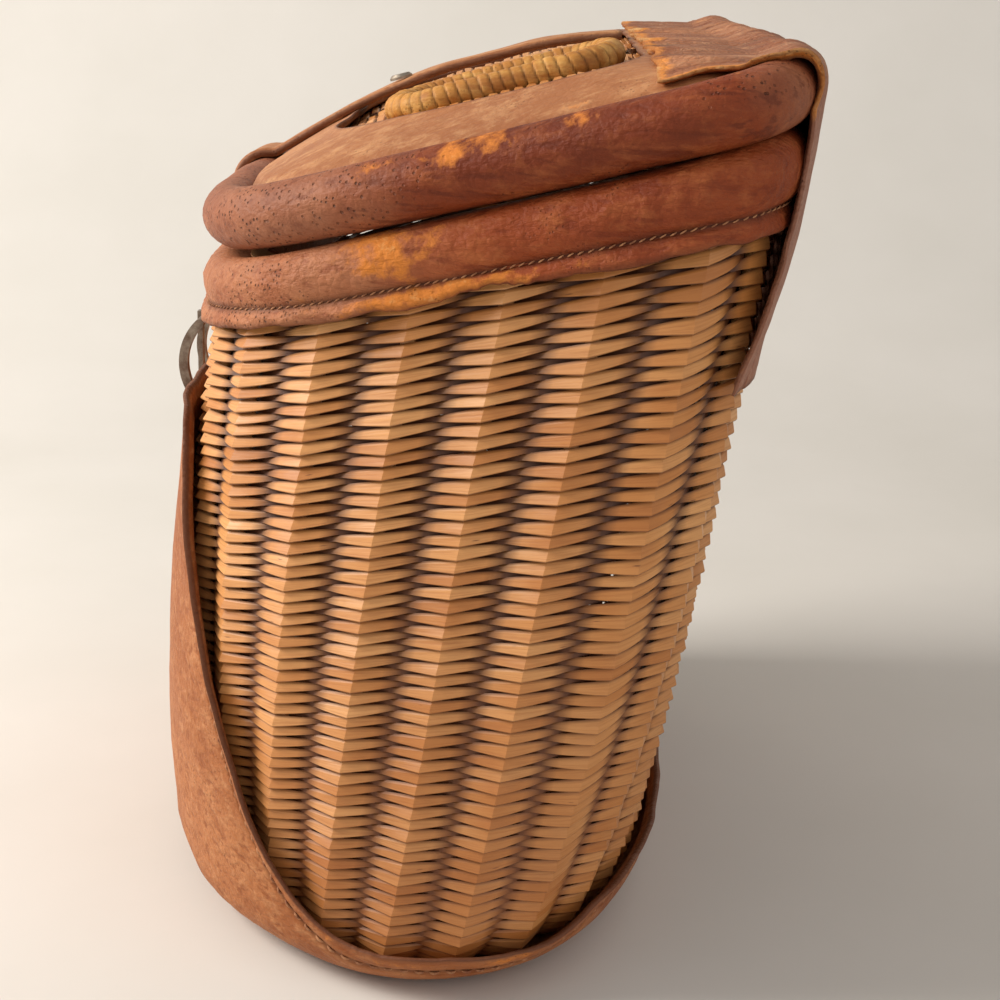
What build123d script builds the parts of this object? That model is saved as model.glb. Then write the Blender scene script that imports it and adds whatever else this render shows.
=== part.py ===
"""A wicker fishing creel: a leather-bound basket with a sloping hinged lid.

X runs along the creel, -Y is the buckle side, +Y the hinge side and +Z is up. The origin is
under the middle of the whole creel, on the surface it stands on.
"""

import os
from math import atan, cos, dist, pi, radians, sin, sqrt, tan

from build123d import *

os.makedirs("parts", exist_ok=True)

# Body, from the base to the rim
rim_height = 215.0  # at the middle of the rim
rim_slope = 15.7  # degrees, the back of the rim is higher
rim_half_length = 168.0
rim_half_depth = 74.0
base_half_length = 141.0
base_front = 97.0  # base, forward of the rim's middle
base_back = 47.0  # base, behind the rim's middle
belly = 5.0  # extra bulge of the front half way up
end_flare = 0.57  # how early the ends reach their full length
lower_bend = 0.37  # where the walls bend, as shares of the rim's height
upper_bend = 0.7
front_narrowing = 0.234  # how much shorter the front is than the back
base_power = 1.95  # 2 is an ellipse, more is squarer
front_rim_power = 4.8
back_rim_power = 7.0
base_rounding = 15.0
rim_middle = 9.2  # the rim's middle, behind the origin

# Wicker
stake_count = 34
stake_start = 0.2  # first stake, in stakes past the middle of the back
stake_swell = 1.6  # how far the weave swells outward over each stake
swell_parts = 10  # equal parts of the way from one stake to the next
swell_reach = 3  # parts that a swell takes on either side of its stake
wall_thickness = 6.0
base_thickness = 5.0
hoop_depth = 10.0
hoop_thickness = 4.0
fit_gap = 0.3  # between pieces that lie against each other
stake_gap = 0.8  # between a swell and the wall behind it
boot_gap = 0.9  # between the stakes and the leather over them

# Leather
leather = 2.0
binding_height = 19.0
binding_swell = 5.0
binding_rise = 4.0  # height over which the binding swells out from its hem
binding_turn = 5.0  # height of its rounded top edge
binding_tuck = 4.0  # how far that edge turns in
boot_front_height = 155.0
boot_top_half_width = 102.0
boot_hip_half_width = 121.0
boot_foot_half_width = 136.0
boot_corner = 14.0
boot_end_height = 15.0
boot_back_height = 26.0

# Lid
lid_gap = 1.0  # between the rim and the roll around the lid
roll_diameter = 15.8
lid_overhang = 6.2  # how far the roll stands out past the rim
roll_facets = 8
roll_flat = 1.0  # width of the flat along its top and bottom
lid_thickness = 5.0
lid_crown = 14.0
lid_level = 14.0  # half depth of the level middle of the crown
border_width = 24.0
hinge_cover = 22.0  # how far the hinge leather lies over the lid
hinge_drop = 62.0  # how far it hangs down the back
hinge_short = 16.3  # how far its ends stop short of the lid's
hinge_fold = 4.0  # bare fold between its two halves
hinge_stand_off = 1.3  # how far the fold stands off the roll

# Fish hole
hole_length = 50.0  # front to back
hole_width = 38.0
hole_corner = 10.0
hole_side = 70.0  # its middle, along X
hole_back = 6.0
collar_diameter = 8.0
collar_chamfer = 2.2
collar_lift = 1.5  # how far it stands up from the middle of the panel

# Closing strap and buckle
strap_hole = 4.0
strap_hole_step = 8.0
strap_width = 22.0
strap_side = 0.0
strap_thickness = 2.6
tail_length = 34.0
rivet_diameter = 7.0
rivet_height = 1.5
rivet_chamfer = 0.8
rivet_across = -28.0  # forward of the lid's middle
buckle_width = 32.0
buckle_height = 25.0
buckle_wire = 2.8
buckle_bow = 5.0
buckle_bow_at = 0.6  # where it bows the most, as a share of its height
buckle_seat = 138.0  # height of its pivot bar
prong_width = 3.0
chape_thickness = 1.6
chape_length = 28.0
turning_gap = 0.3

# How finely outlines are followed, and how far a cut runs past what it cuts
outline_points = 36
outline_fineness = 4
crown_steps = 4
settling_steps = 6
past = 1.0
lid_room = 30.0
spare = 5.0
slope = tan(radians(rim_slope))
flat_depth = 1 / cos(radians(rim_slope))


def oval(half_length, front, back, front_power, back_power):
    """Points of a rounded outline, which is shorter along its front."""
    points = []
    for step in range(outline_points * outline_fineness):
        turn = 2 * pi * step / (outline_points * outline_fineness) + pi / 2
        power = back_power if sin(turn) > 0 else front_power
        across = abs(cos(turn)) ** (2 / power) * (1 if cos(turn) > 0 else -1)
        along = abs(sin(turn)) ** (2 / power) * (1 if sin(turn) > 0 else -1)
        depth = (back + front) / 2 * along
        narrow = 1 - front_narrowing * (0.5 - along / 2)
        points.append((half_length * across * narrow, depth + (back - front) / 2))
    return points


def even(points, guide, count, start=0.0):
    """The outline as fewer points, which stand evenly along a guide outline.

    Outlines that lie one inside another share a guide, so that the gap between them is even.
    """
    runs = [dist(a, b) for a, b in zip(guide, guide[1:] + guide[:1])]
    step = sum(runs) / count
    closed, runs = points * 2, runs * 2  # twice round, for a start past the first point
    spaced = []
    run, passed = 0, 0.0
    for index in range(count):
        reach = (index + start) * step
        while passed + runs[run] < reach:
            passed += runs[run]
            run += 1
        share = (reach - passed) / runs[run]
        before, after = Vector(*closed[run]), Vector(*closed[run + 1])
        spaced.append(before + (after - before) * share)
    return spaced


def closed_face(plane, points):
    with BuildSketch(plane) as sketch:
        with BuildLine():
            Spline(*points, periodic=True)
        make_face()
    return sketch.sketch.face()


def body_plane(height):
    """The tilted plane of the body's outline at a height."""
    lean = atan(slope * height / rim_height)
    return Plane((0, rim_middle, height), (1, 0, 0), (0, -sin(lean), cos(lean)))


def body_outline(height, grow, floor):
    """The body's outline at a height, grown outward, above a floor with rounded edges."""
    share = height / rim_height
    above = min(height - floor, base_rounding)
    tuck = base_rounding - sqrt(base_rounding**2 - (base_rounding - above) ** 2)
    half_length = base_half_length + (rim_half_length - base_half_length) * share**end_flare
    front_power = base_power + (front_rim_power - base_power) * share
    back_power = base_power + (back_rim_power - base_power) * share
    tilted = 1 / cos(atan(slope * share))
    return oval(
        half_length + grow - tuck,
        (front_reach(height) + grow - tuck) * tilted,
        (back_reach(height) + grow - tuck) * tilted,
        front_power,
        back_power,
    )


def body_levels(floor):
    """Heights where the body's outline bends; it runs straight between them."""
    rounded = [floor, floor + base_rounding / 3, floor + base_rounding]
    return rounded + [rim_height * lower_bend, rim_height * upper_bend, rim_height]


def body_points(height, grow, floor, count, start=0.0):
    """Evenly spaced points of the outline at a height."""
    levels = body_levels(floor)
    span = sum(1 for level in levels[1:-1] if level < height)
    low, high = levels[span], levels[span + 1]
    share = (height - low) / (high - low)
    lower = even(body_outline(low, grow, floor), body_outline(low, 0, floor), count, start)
    upper = even(body_outline(high, grow, floor), body_outline(high, 0, floor), count, start)
    return [a + (b - a) * share for a, b in zip(lower, upper)]


def body_section(height, grow=0.0, floor=0.0):
    return closed_face(body_plane(height), body_points(height, grow, floor, outline_points))


def levels_between(low, high, floor):
    return [low] + [level for level in body_levels(floor) if low < level < high] + [high]


def body_loft(low, high, grow=0.0, floor=0.0, mode=Mode.ADD):
    """The solid inside the body's outlines from low to high."""
    levels = levels_between(low, high, floor)
    loft(sections=[body_section(h, grow, floor) for h in levels], ruled=True, mode=mode)


def back_reach(height):
    """How far behind the rim's middle the back wall stands at a height."""
    return base_back + (rim_half_depth - base_back) * height / rim_height


def front_reach(height):
    share = height / rim_height
    return base_front + (rim_half_depth - base_front) * share + belly * 4 * share * (1 - share)


def front_face(z):
    """Where the body's front stands at a true height."""
    height = z
    for _ in range(settling_steps):
        height = z + slope * height / rim_height * front_reach(height)
    return rim_middle - front_reach(height)


def back_face(z):
    """Where the body's back stands at a true height."""
    height = z
    for _ in range(settling_steps):
        height = z - slope * height / rim_height * back_reach(height)
    return rim_middle + back_reach(height)


def finish(part, name):
    part.part.label = name
    export_step(part.part, f"parts/{name}.step")


# Wicker body
wicker_floor = leather + fit_gap
binding_top = rim_height + fit_gap + leather
binding_hem = binding_top - binding_height
with BuildPart() as wicker_wall:
    body_loft(wicker_floor, rim_height, 0, wicker_floor)
    body_loft(leather, rim_height + past, -wall_thickness, leather, mode=Mode.SUBTRACT)
finish(wicker_wall, "wicker_wall")

stake_foot = wicker_floor + base_rounding / 3
stake_top = binding_hem - fit_gap
with BuildPart() as stakes:
    levels = levels_between(stake_foot, stake_top, wicker_floor)
    count, start = stake_count * swell_parts, stake_start * swell_parts
    outlines = [body_points(height, stake_gap, wicker_floor, count, start) for height in levels]
    rods = []
    for number in range(0, count, swell_parts):
        sections = []
        for height, points in zip(levels, outlines):
            before = points[number - swell_reach]
            here = points[number]
            after = points[number + swell_reach]
            half = (after - before) / 2
            outward = -half.normalized().rotate(Axis.Z, 90)
            with BuildSketch(body_plane(height)) as stake_section:
                Polygon(here - half, here + half, here + outward * stake_swell, align=None)
            sections.append(stake_section.sketch.face())
        rods.append(loft(sections=sections, ruled=True, mode=Mode.PRIVATE))
    add(rods)
finish(stakes, "stakes")

base_reach = -wall_thickness - fit_gap
with BuildPart() as wicker_base:
    loft(
        sections=[
            body_section(wicker_floor, base_reach, wicker_floor),
            body_section(wicker_floor + base_thickness, base_reach, wicker_floor),
        ],
        ruled=True,
    )
finish(wicker_base, "wicker_base")

# The rim: a flat hoop inside the wall, with leather folded over both
hoop_outside = -wall_thickness - fit_gap
with BuildPart() as rim_hoop:
    body_loft(rim_height - hoop_depth, rim_height, hoop_outside)
    body_loft(
        rim_height - hoop_depth - past,
        rim_height + past,
        hoop_outside - hoop_thickness,
        mode=Mode.SUBTRACT,
    )
finish(rim_hoop, "rim_hoop")

binding_inside = hoop_outside - hoop_thickness - fit_gap
with BuildPart() as rim_binding:
    loft(
        sections=[
            body_section(binding_hem, fit_gap + leather),
            body_section(binding_hem + binding_rise, binding_swell),
            body_section(binding_top - binding_turn, binding_swell),
            body_section(binding_top, binding_swell - binding_tuck),
        ],
        ruled=True,
    )
    body_loft(binding_hem - past, rim_height + fit_gap, fit_gap, mode=Mode.SUBTRACT)
    body_loft(binding_hem, binding_top, binding_inside)
    inner_face = binding_inside - leather
    body_loft(binding_hem - past, binding_top + past, inner_face, mode=Mode.SUBTRACT)
finish(rim_binding, "rim_binding")

# Leather boot: up the front to the buckle, low round the ends and back
boot_plane = Plane.XZ.offset(-rim_middle + (base_front - base_back) / 2)
wide = rim_half_length + binding_swell
boot_outside = stake_gap + stake_swell + boot_gap + leather
tall = boot_front_height
with BuildPart() as leather_boot:
    with BuildSketch(boot_plane):
        with BuildLine():
            left_side = Bezier(
                (-boot_foot_half_width, boot_end_height),
                (-boot_hip_half_width, boot_end_height),
                (-boot_hip_half_width, tall / 2),
                (-boot_top_half_width, tall - boot_corner),
            )
            Line(left_side @ 1, (-boot_top_half_width + boot_corner, tall))
            Line((-boot_top_half_width + boot_corner, tall), (0, tall))
            Line((0, tall), (0, -past))
            Line((0, -past), (-wide, -past))
            Line((-wide, -past), (-wide, boot_end_height))
            Line((-wide, boot_end_height), left_side @ 0)
        make_face()
        mirror(about=Plane.YZ)
    extrude(amount=rim_half_depth + base_front)
    with BuildSketch(boot_plane):
        with BuildLine():
            low_side = Bezier(
                (-boot_foot_half_width, boot_end_height),
                (-boot_hip_half_width, boot_end_height),
                (-boot_hip_half_width, boot_back_height),
                (-boot_top_half_width, boot_back_height),
            )
            Line(low_side @ 1, (0, boot_back_height))
            Line((0, boot_back_height), (0, -past))
            Line((0, -past), (-wide, -past))
            Line((-wide, -past), (-wide, boot_end_height))
            Line((-wide, boot_end_height), low_side @ 0)
        make_face()
        mirror(about=Plane.YZ)
    extrude(amount=-rim_half_depth - base_front)
    body_loft(0, rim_height, boot_outside, mode=Mode.INTERSECT)
    body_loft(leather, rim_height + past, boot_outside - leather, leather, mode=Mode.SUBTRACT)
finish(leather_boot, "leather_boot")

# Lid, built in the tilted plane of the roll's middle
roll_radius = roll_diameter / 2
lid_height = binding_top + (lid_gap + roll_radius) * flat_depth
lean = radians(rim_slope)
lid_plane = Plane((0, rim_middle, lid_height), (1, 0, 0), (0, -sin(lean), cos(lean)))
lid_side = Plane((0, rim_middle, lid_height), (0, cos(lean), sin(lean)), (1, 0, 0))
lid_half_length = rim_half_length + lid_overhang - roll_radius
lid_half_depth = (rim_half_depth + lid_overhang - roll_radius) * flat_depth


def lid_points(grow):
    half_length, half_depth = lid_half_length + grow, lid_half_depth + grow
    return oval(half_length, half_depth, half_depth, front_rim_power, back_rim_power)


def lid_outline(height, grow=0.0):
    """The lid's outline at a height over its plane, grown from the middle of the roll."""
    points = even(lid_points(grow), lid_points(0), outline_points)
    return closed_face(lid_plane.offset(height), points)


def dome_height(inset):
    """How far the lid's woven panel has risen, at a distance in from the roll's middle."""
    return lid_crown * (1 - (1 - inset / lid_half_depth) ** 2)


def dome(bottom, top, inset):
    """A domed sheet between two levels, reaching out to an inset from the roll's middle."""
    span = (lid_half_depth - lid_level - inset) / crown_steps
    insets = [inset + span * step for step in range(crown_steps + 1)]
    loft(
        sections=[lid_outline(bottom - lid_room, -inset)]
        + [lid_outline(top + dome_height(i), -i) for i in insets],
        ruled=True,
    )
    loft(
        sections=[lid_outline(bottom - lid_room - past, spare - inset)]
        + [lid_outline(bottom + dome_height(i - spare), spare - i) for i in insets],
        ruled=True,
        mode=Mode.SUBTRACT,
    )


panel_edge = roll_radius + 2 * fit_gap
border_bottom = lid_thickness / 2 + fit_gap
border_top = border_bottom + leather


def hole_outline(grow):
    RectangleRounded(hole_width + 2 * grow, hole_length + 2 * grow, hole_corner + grow)


with BuildPart() as lid_panel:
    dome(-lid_thickness / 2, lid_thickness / 2, panel_edge)
    with BuildSketch(lid_plane) as collar_room:
        with Locations((hole_side, hole_back)):
            hole_outline(collar_diameter + fit_gap)
    extrude(collar_room.sketch, amount=lid_room, both=True, mode=Mode.SUBTRACT)
finish(lid_panel, "lid_panel")

window_inset = panel_edge + border_width
with BuildPart() as lid_border:
    dome(border_bottom, border_top, panel_edge)
    extrude(lid_outline(0, -window_inset), amount=lid_room, both=True, mode=Mode.SUBTRACT)
finish(lid_border, "lid_border")


def flat_ring(depth, thickness):
    """A flat hoop along the middle of the roll."""
    for reach, mode in ((thickness / 2, Mode.ADD), (-thickness / 2, Mode.SUBTRACT)):
        loft(sections=[lid_outline(-depth / 2, reach), lid_outline(depth / 2, reach)], mode=mode)


with BuildPart() as lid_hoop:
    flat_ring(hoop_depth, hoop_thickness)
finish(lid_hoop, "lid_hoop")

with BuildPart() as hoop_room:
    flat_ring(hoop_depth + 2 * fit_gap, hoop_thickness + 2 * fit_gap)

turns = [pi * step / roll_facets for step in range(roll_facets + 1)]
roll_reach = roll_radius - roll_flat / 2
with BuildPart() as lid_roll:
    for side, mode in ((1, Mode.ADD), (-1, Mode.SUBTRACT)):
        loft(
            sections=[
                lid_outline(-roll_radius * cos(turn), side * (roll_reach * sin(turn) + roll_flat / 2))
                for turn in turns
            ],
            ruled=True,
            mode=mode,
        )
    add(hoop_room.part, mode=Mode.SUBTRACT)
finish(lid_roll, "lid_roll")

# Wrapped collar round the fish hole
collar_middle = dome_height(lid_half_depth - lid_level) + collar_lift
collar_reach = collar_diameter / 2
with BuildPart() as fish_hole_collar:
    with BuildSketch(lid_plane.offset(collar_middle)) as ring:
        with Locations((hole_side, hole_back)):
            hole_outline(collar_diameter)
    extrude(amount=collar_reach, both=True)
    with BuildSketch(lid_plane.offset(collar_middle)) as hole:
        with Locations((hole_side, hole_back)):
            hole_outline(0)
    extrude(amount=collar_diameter, both=True, mode=Mode.SUBTRACT)
    rims = fish_hole_collar.edges().filter_by(
        lambda edge: abs(lid_plane.to_local_coords(edge.center()).Z - collar_middle) > collar_reach / 2
    )
    chamfer(rims, collar_chamfer)
finish(fish_hole_collar, "fish_hole_collar")

# Hinge leather: over the back of the lid, round the roll and down the back of the body
hinge_half_length = lid_half_length - hinge_short
roll_wrap = roll_radius + fit_gap + leather / 2
cover_rise = border_top + dome_height(hinge_cover + panel_edge) + fit_gap + leather / 2
fold_y = rim_middle + lid_half_depth / flat_depth + roll_wrap
roll_z = lid_height + slope * lid_half_depth / flat_depth
fold_z = roll_z - roll_radius - hinge_stand_off
with BuildPart() as hinge_leather_lid:
    with BuildSketch(Plane.YZ):
        with BuildLine():
            inner_end = lid_side.from_local_coords(
                Vector(lid_half_depth - hinge_cover - panel_edge, cover_rise)
            )
            over = CenterArc((fold_y - roll_wrap, roll_z), roll_wrap, 0, 90 + rim_slope)
            Line((inner_end.Y, inner_end.Z), over @ 1)
            Line(over @ 0, (fold_y, fold_z + hinge_fold / 2))
        trace(line_width=leather)
    extrude(amount=hinge_half_length, both=True)
finish(hinge_leather_lid, "hinge_leather_lid")

flap_foot = fold_z - hinge_drop
wall_foot = back_face(flap_foot) + stake_gap + stake_swell + boot_gap + leather / 2
binding_back = rim_middle + rim_half_depth + binding_swell + fit_gap + leather / 2
with BuildPart() as hinge_leather_body:
    with BuildSketch(Plane.YZ):
        with BuildLine():
            Spline(
                (fold_y, fold_z - hinge_fold / 2),
                (binding_back, fold_z - hinge_drop / 3),
                (wall_foot, flap_foot),
            )
        trace(line_width=leather)
    extrude(amount=hinge_half_length, both=True)
finish(hinge_leather_body, "hinge_leather_body")

# Closing strap, sewn to the lid, over its front and down to the buckle
strap_lie = border_top + fit_gap + strap_thickness / 2
strap_back = lid_half_depth - panel_edge - hinge_cover - 2 * leather
strap_bend = roll_radius + fit_gap + strap_thickness / 2
front_roll_y = rim_middle - lid_half_depth / flat_depth
front_roll_z = lid_height - slope * lid_half_depth / flat_depth
hang_y = front_roll_y - strap_bend
with BuildPart() as closing_strap:
    with BuildSketch(Plane.YZ):
        with BuildLine():
            lie = [
                lid_side.from_local_coords(
                    Vector(across, strap_lie + dome_height(lid_half_depth - abs(across)))
                )
                for across in (strap_back, 0, -lid_half_depth + panel_edge + border_width)
            ]
            bend = CenterArc((front_roll_y, front_roll_z), strap_bend, 90 + rim_slope, 90 - rim_slope)
            Spline(
                (lie[0].Y, lie[0].Z),
                (lie[1].Y, lie[1].Z),
                (lie[2].Y, lie[2].Z),
                bend @ 0,
            )
        trace(line_width=strap_thickness)
    extrude(amount=strap_width / 2, both=True)
finish(closing_strap, "closing_strap")
tail_top = front_roll_z - strap_thickness / 2 - 2 * turning_gap
tail_foot = tail_top - tail_length
tail_out = front_face(tail_foot) - binding_swell - fit_gap - strap_thickness / 2
tail_down = Vector(0, tail_out - hang_y, tail_foot - tail_top).normalized()
tail_plane = Plane((0, hang_y, tail_top), (1, 0, 0), Vector(1, 0, 0).cross(tail_down))
tail_round = strap_width / 2
with BuildPart() as strap_tail:
    with BuildSketch(tail_plane):
        with Locations((0, (tail_length - tail_round + turning_gap) / 2)):
            Rectangle(strap_width, tail_length - tail_round - turning_gap)
        with Locations((0, tail_length - tail_round)):
            Circle(tail_round)
        with Locations(*[(0, tail_length - tail_round - strap_hole_step * n) for n in range(3)]):
            Circle(strap_hole / 2, mode=Mode.SUBTRACT)
    extrude(amount=strap_thickness / 2, both=True)
finish(strap_tail, "strap_tail")

rivet_lie = strap_lie + strap_thickness / 2 + dome_height(lid_half_depth - abs(rivet_across))
with BuildPart() as strap_rivet:
    with BuildSketch(lid_plane.offset(rivet_lie + fit_gap)):
        with Locations((strap_side, rivet_across)):
            Circle(rivet_diameter / 2)
    extrude(amount=rivet_height)
    chamfer(strap_rivet.faces().sort_by(Axis.Z).last.edges(), rivet_chamfer)
finish(strap_rivet, "strap_rivet")

# Buckle: a bowed wire frame and its prong, held by a folded leather chape
wire = buckle_wire / 2
loop_inside = wire + turning_gap
loop_outside = loop_inside + chape_thickness
bar_y = front_face(buckle_seat) - boot_outside - fit_gap - loop_outside
chape_top = buckle_seat - loop_inside
chape_foot = buckle_seat - chape_length
chape_lie = boot_outside + fit_gap + chape_thickness / 2
chape_half_width = buckle_width / 2 - buckle_wire - turning_gap
prong_slot = prong_width + 4 * turning_gap
with BuildPart() as buckle_chape:
    with BuildSketch(Plane.YZ):
        with BuildLine():
            Line(
                (front_face(chape_top) - chape_lie, chape_top),
                (front_face(chape_foot) - chape_lie, chape_foot),
            )
        trace(line_width=chape_thickness)
        with Locations((bar_y, buckle_seat)):
            Circle(loop_outside)
            Circle(loop_inside, mode=Mode.SUBTRACT)
    extrude(amount=chape_half_width, both=True)
    with BuildSketch(Plane.YZ):
        with Locations((bar_y, buckle_seat)):
            Rectangle(2 * loop_outside + turning_gap, 3 * loop_outside)
    extrude(amount=prong_slot / 2, both=True, mode=Mode.SUBTRACT)
finish(buckle_chape, "buckle_chape")

bar_middle = (bar_y, buckle_seat)
top_middle = (bar_y, buckle_seat + buckle_height)
with BuildPart() as buckle_frame:
    with BuildSketch(Plane.YZ):
        with BuildLine():
            ThreePointArc(
                bar_middle,
                (bar_y - buckle_bow, buckle_seat + buckle_height * buckle_bow_at),
                top_middle,
            )
        trace(line_width=buckle_wire)
    extrude(amount=buckle_width / 2, both=True)
    with BuildSketch(Plane.XZ.offset(-bar_y)):
        with Locations((0, buckle_seat + buckle_height / 2)):
            Rectangle(buckle_width - 2 * buckle_wire, buckle_height + 2 * buckle_wire)
    extrude(amount=buckle_width, both=True, mode=Mode.SUBTRACT)
    with BuildSketch(Plane.YZ):
        with Locations(bar_middle, top_middle):
            Circle(wire)
    extrude(amount=buckle_width / 2, both=True)
finish(buckle_frame, "buckle_frame")

prong_lie = loop_inside + chape_thickness / 2
with BuildPart() as buckle_prong:
    with BuildSketch(Plane.YZ):
        with BuildLine():
            Line(
                (bar_y - prong_lie, buckle_seat),
                (bar_y - prong_lie, buckle_seat + buckle_height + wire),
            )
        trace(line_width=chape_thickness)
        with Locations((bar_y, buckle_seat)):
            Circle(loop_outside)
            Circle(loop_inside, mode=Mode.SUBTRACT)
    extrude(amount=prong_width / 2, both=True)
finish(buckle_prong, "buckle_prong")
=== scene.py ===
# A leather-bound wicker fishing creel, dressed over its CAD frame. Metres, +Z up, -Y the buckle side.
from math import atan, cos, pi, radians, sin, tan

import bmesh
import bpy
import numpy as np
from mathutils import Matrix, Vector, noise


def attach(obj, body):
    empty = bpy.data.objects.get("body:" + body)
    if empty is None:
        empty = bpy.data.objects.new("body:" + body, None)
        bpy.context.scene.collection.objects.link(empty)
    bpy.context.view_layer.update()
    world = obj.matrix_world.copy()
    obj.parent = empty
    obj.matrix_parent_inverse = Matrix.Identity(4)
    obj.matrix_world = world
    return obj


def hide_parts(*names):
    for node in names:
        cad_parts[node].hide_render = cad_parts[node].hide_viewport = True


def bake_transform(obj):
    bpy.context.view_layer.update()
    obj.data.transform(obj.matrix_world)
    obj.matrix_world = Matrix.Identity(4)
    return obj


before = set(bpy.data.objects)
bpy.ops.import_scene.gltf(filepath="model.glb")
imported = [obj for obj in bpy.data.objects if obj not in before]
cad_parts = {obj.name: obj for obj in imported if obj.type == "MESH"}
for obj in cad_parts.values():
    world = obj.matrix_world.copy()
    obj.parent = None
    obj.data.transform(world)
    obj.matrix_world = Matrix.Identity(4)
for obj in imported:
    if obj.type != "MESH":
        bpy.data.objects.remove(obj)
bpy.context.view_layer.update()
rng = np.random.default_rng(12)
mm = 0.001

# The creel's own shape, in millimetres, as the CAD has it
creel = dict(
    rimHeight=215.0, rimSlope=15.7, rimHalfLength=168.0, rimHalfDepth=74.0,
    baseHalfLength=141.0, baseFront=97.0, baseBack=47.0, belly=5.0, endFlare=0.57,
    frontNarrowing=0.234, basePower=1.95, frontPower=4.8, backPower=7.0,
    baseRounding=15.0, rimMiddle=9.2, floor=2.3, stakes=34, firstStake=0.2,
)
slope = tan(radians(creel["rimSlope"]))
outlinePoints = 1440
tableColumns = 1020  # the wall and the lid are worked out once on a grid, then read between its points
tableTop = 236


def ovalOutline(halfLength, front, back, frontPower, backPower):
    turn = 2 * pi * np.arange(outlinePoints) / outlinePoints + pi / 2
    power = np.where(np.sin(turn) > 0, backPower, frontPower)
    across = np.abs(np.cos(turn)) ** (2 / power) * np.sign(np.cos(turn))
    along = np.abs(np.sin(turn)) ** (2 / power) * np.sign(np.sin(turn))
    narrow = 1 - creel["frontNarrowing"] * (0.5 - along / 2)
    return np.stack([halfLength * across * narrow, (back + front) / 2 * along + (back - front) / 2], 1)


def unit(vectors):
    return vectors / np.linalg.norm(vectors, axis=-1, keepdims=True)


def lengthAlong(points):
    # how far along a line of points each of them is
    return np.concatenate([[0], np.cumsum(np.linalg.norm(np.diff(points, axis=0), axis=1))])


def placeAt(where, run, points):
    # the places at given lengths along a line of points
    return np.stack([np.interp(where, run, points[:, k]) for k in range(points.shape[1])], -1)


def evenly(points, count):
    # a closed loop again, in steps of one length
    closed = np.vstack([points, points[:1]])
    run = lengthAlong(closed)
    return placeAt(np.arange(count) / count * run[-1], run, closed)


def softened(out, times):
    # ways out that turn softly at the corners
    for _ in range(times):
        out = unit(out + np.roll(out, 1, 1) + np.roll(out, -1, 1))
    return out


def wallTable():
    # rows of wall points, a millimetre apart from the base edge up, and the way out of each
    c, rows = creel, []
    rounded = c["baseRounding"] * pi / 2
    for v in range(tableTop + 1):
        if v < rounded:
            turn = v / c["baseRounding"]
            height = c["floor"] + c["baseRounding"] * (1 - cos(turn))
            tuck = c["baseRounding"] * (1 - sin(turn))
        else:
            height = c["floor"] + c["baseRounding"] + v - rounded
            tuck = 0
        share = height / c["rimHeight"]
        lean = atan(slope * share)
        back = c["baseBack"] + (c["rimHalfDepth"] - c["baseBack"]) * share
        front = c["baseFront"] + (c["rimHalfDepth"] - c["baseFront"]) * share
        front += c["belly"] * 4 * share * (1 - share)
        length = c["baseHalfLength"] + (c["rimHalfLength"] - c["baseHalfLength"]) * share ** c["endFlare"]
        flat = evenly(ovalOutline(
            length - tuck, (front - tuck) / cos(lean), (back - tuck) / cos(lean),
            c["basePower"] + (c["frontPower"] - c["basePower"]) * share,
            c["basePower"] + (c["backPower"] - c["basePower"]) * share), tableColumns)
        rows.append(np.stack([flat[:, 0], c["rimMiddle"] + flat[:, 1] * cos(lean),
                              height + flat[:, 1] * sin(lean)], 1))
    rows = np.array(rows)
    along = np.roll(rows, -3, 1) - np.roll(rows, 3, 1)
    up = np.gradient(rows, axis=0)
    return rows, softened(unit(np.cross(along, up)), 6)


wallRows, wallOut = wallTable()


def tableAt(table, u, row):
    # what a table says once round at u and at a row that may fall between two
    column = (np.asarray(u) % 1.0) * tableColumns
    row = np.clip(np.asarray(row, float), 0, len(table) - 1.001)
    c0, r0 = np.floor(column).astype(int), np.floor(row).astype(int)
    cs, rs = (column - c0)[..., None], (row - r0)[..., None]
    c0 %= tableColumns
    c1 = (c0 + 1) % tableColumns
    low = table[r0, c0] * (1 - cs) + table[r0, c1] * cs
    high = table[r0 + 1, c0] * (1 - cs) + table[r0 + 1, c1] * cs
    return low * (1 - rs) + high * rs


def wallPoint(u, v, out=0.0):
    # a point of the wall: u once round from the middle of the back, v millimetres up from the base edge
    u, v = np.broadcast_arrays(u, v)
    return tableAt(wallRows, u, v) + tableAt(wallOut, u, v) * np.asarray(out)[..., None]


def levelOf(height):
    # how far up the wall a height of the outline is
    return height - creel["floor"] - creel["baseRounding"] + creel["baseRounding"] * pi / 2


# Mesh helpers

def addMesh(name, verts, faces, material, values=None):
    mesh = bpy.data.meshes.new(name)
    mesh.from_pydata((np.asarray(verts) * mm).tolist(), [], faces)
    for key, data in (values or {}).items():
        layer = mesh.attributes.new(key, "FLOAT" if np.ndim(data) == 1 else "FLOAT_VECTOR", "POINT")
        layer.data.foreach_set("value" if np.ndim(data) == 1 else "vector", np.ravel(data).astype(np.float32))
    mesh.shade_smooth()
    mesh.validate()
    obj = bpy.data.objects.new(name, mesh)
    bpy.context.collection.objects.link(obj)
    mesh.materials.append(material)
    return obj


def addSkin(name, grid, faces, leather, **values):
    # a piece of leather from a grid of points, with a value of each kind at every point
    flatValues = {key: np.ravel(data) for key, data in values.items()}
    return addMesh(name, grid.reshape(-1, 3), faces, leathers[leather], flatValues)


def gridFaces(rows, columns, wrapRows=False, wrapColumns=False, base=0):
    faces = []
    for r in range(rows if wrapRows else rows - 1):
        below, above = r * columns, (r + 1) % rows * columns
        for c in range(columns if wrapColumns else columns - 1):
            n = (c + 1) % columns
            faces.append((base + below + c, base + below + n, base + above + n, base + above + c))
    return faces


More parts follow.
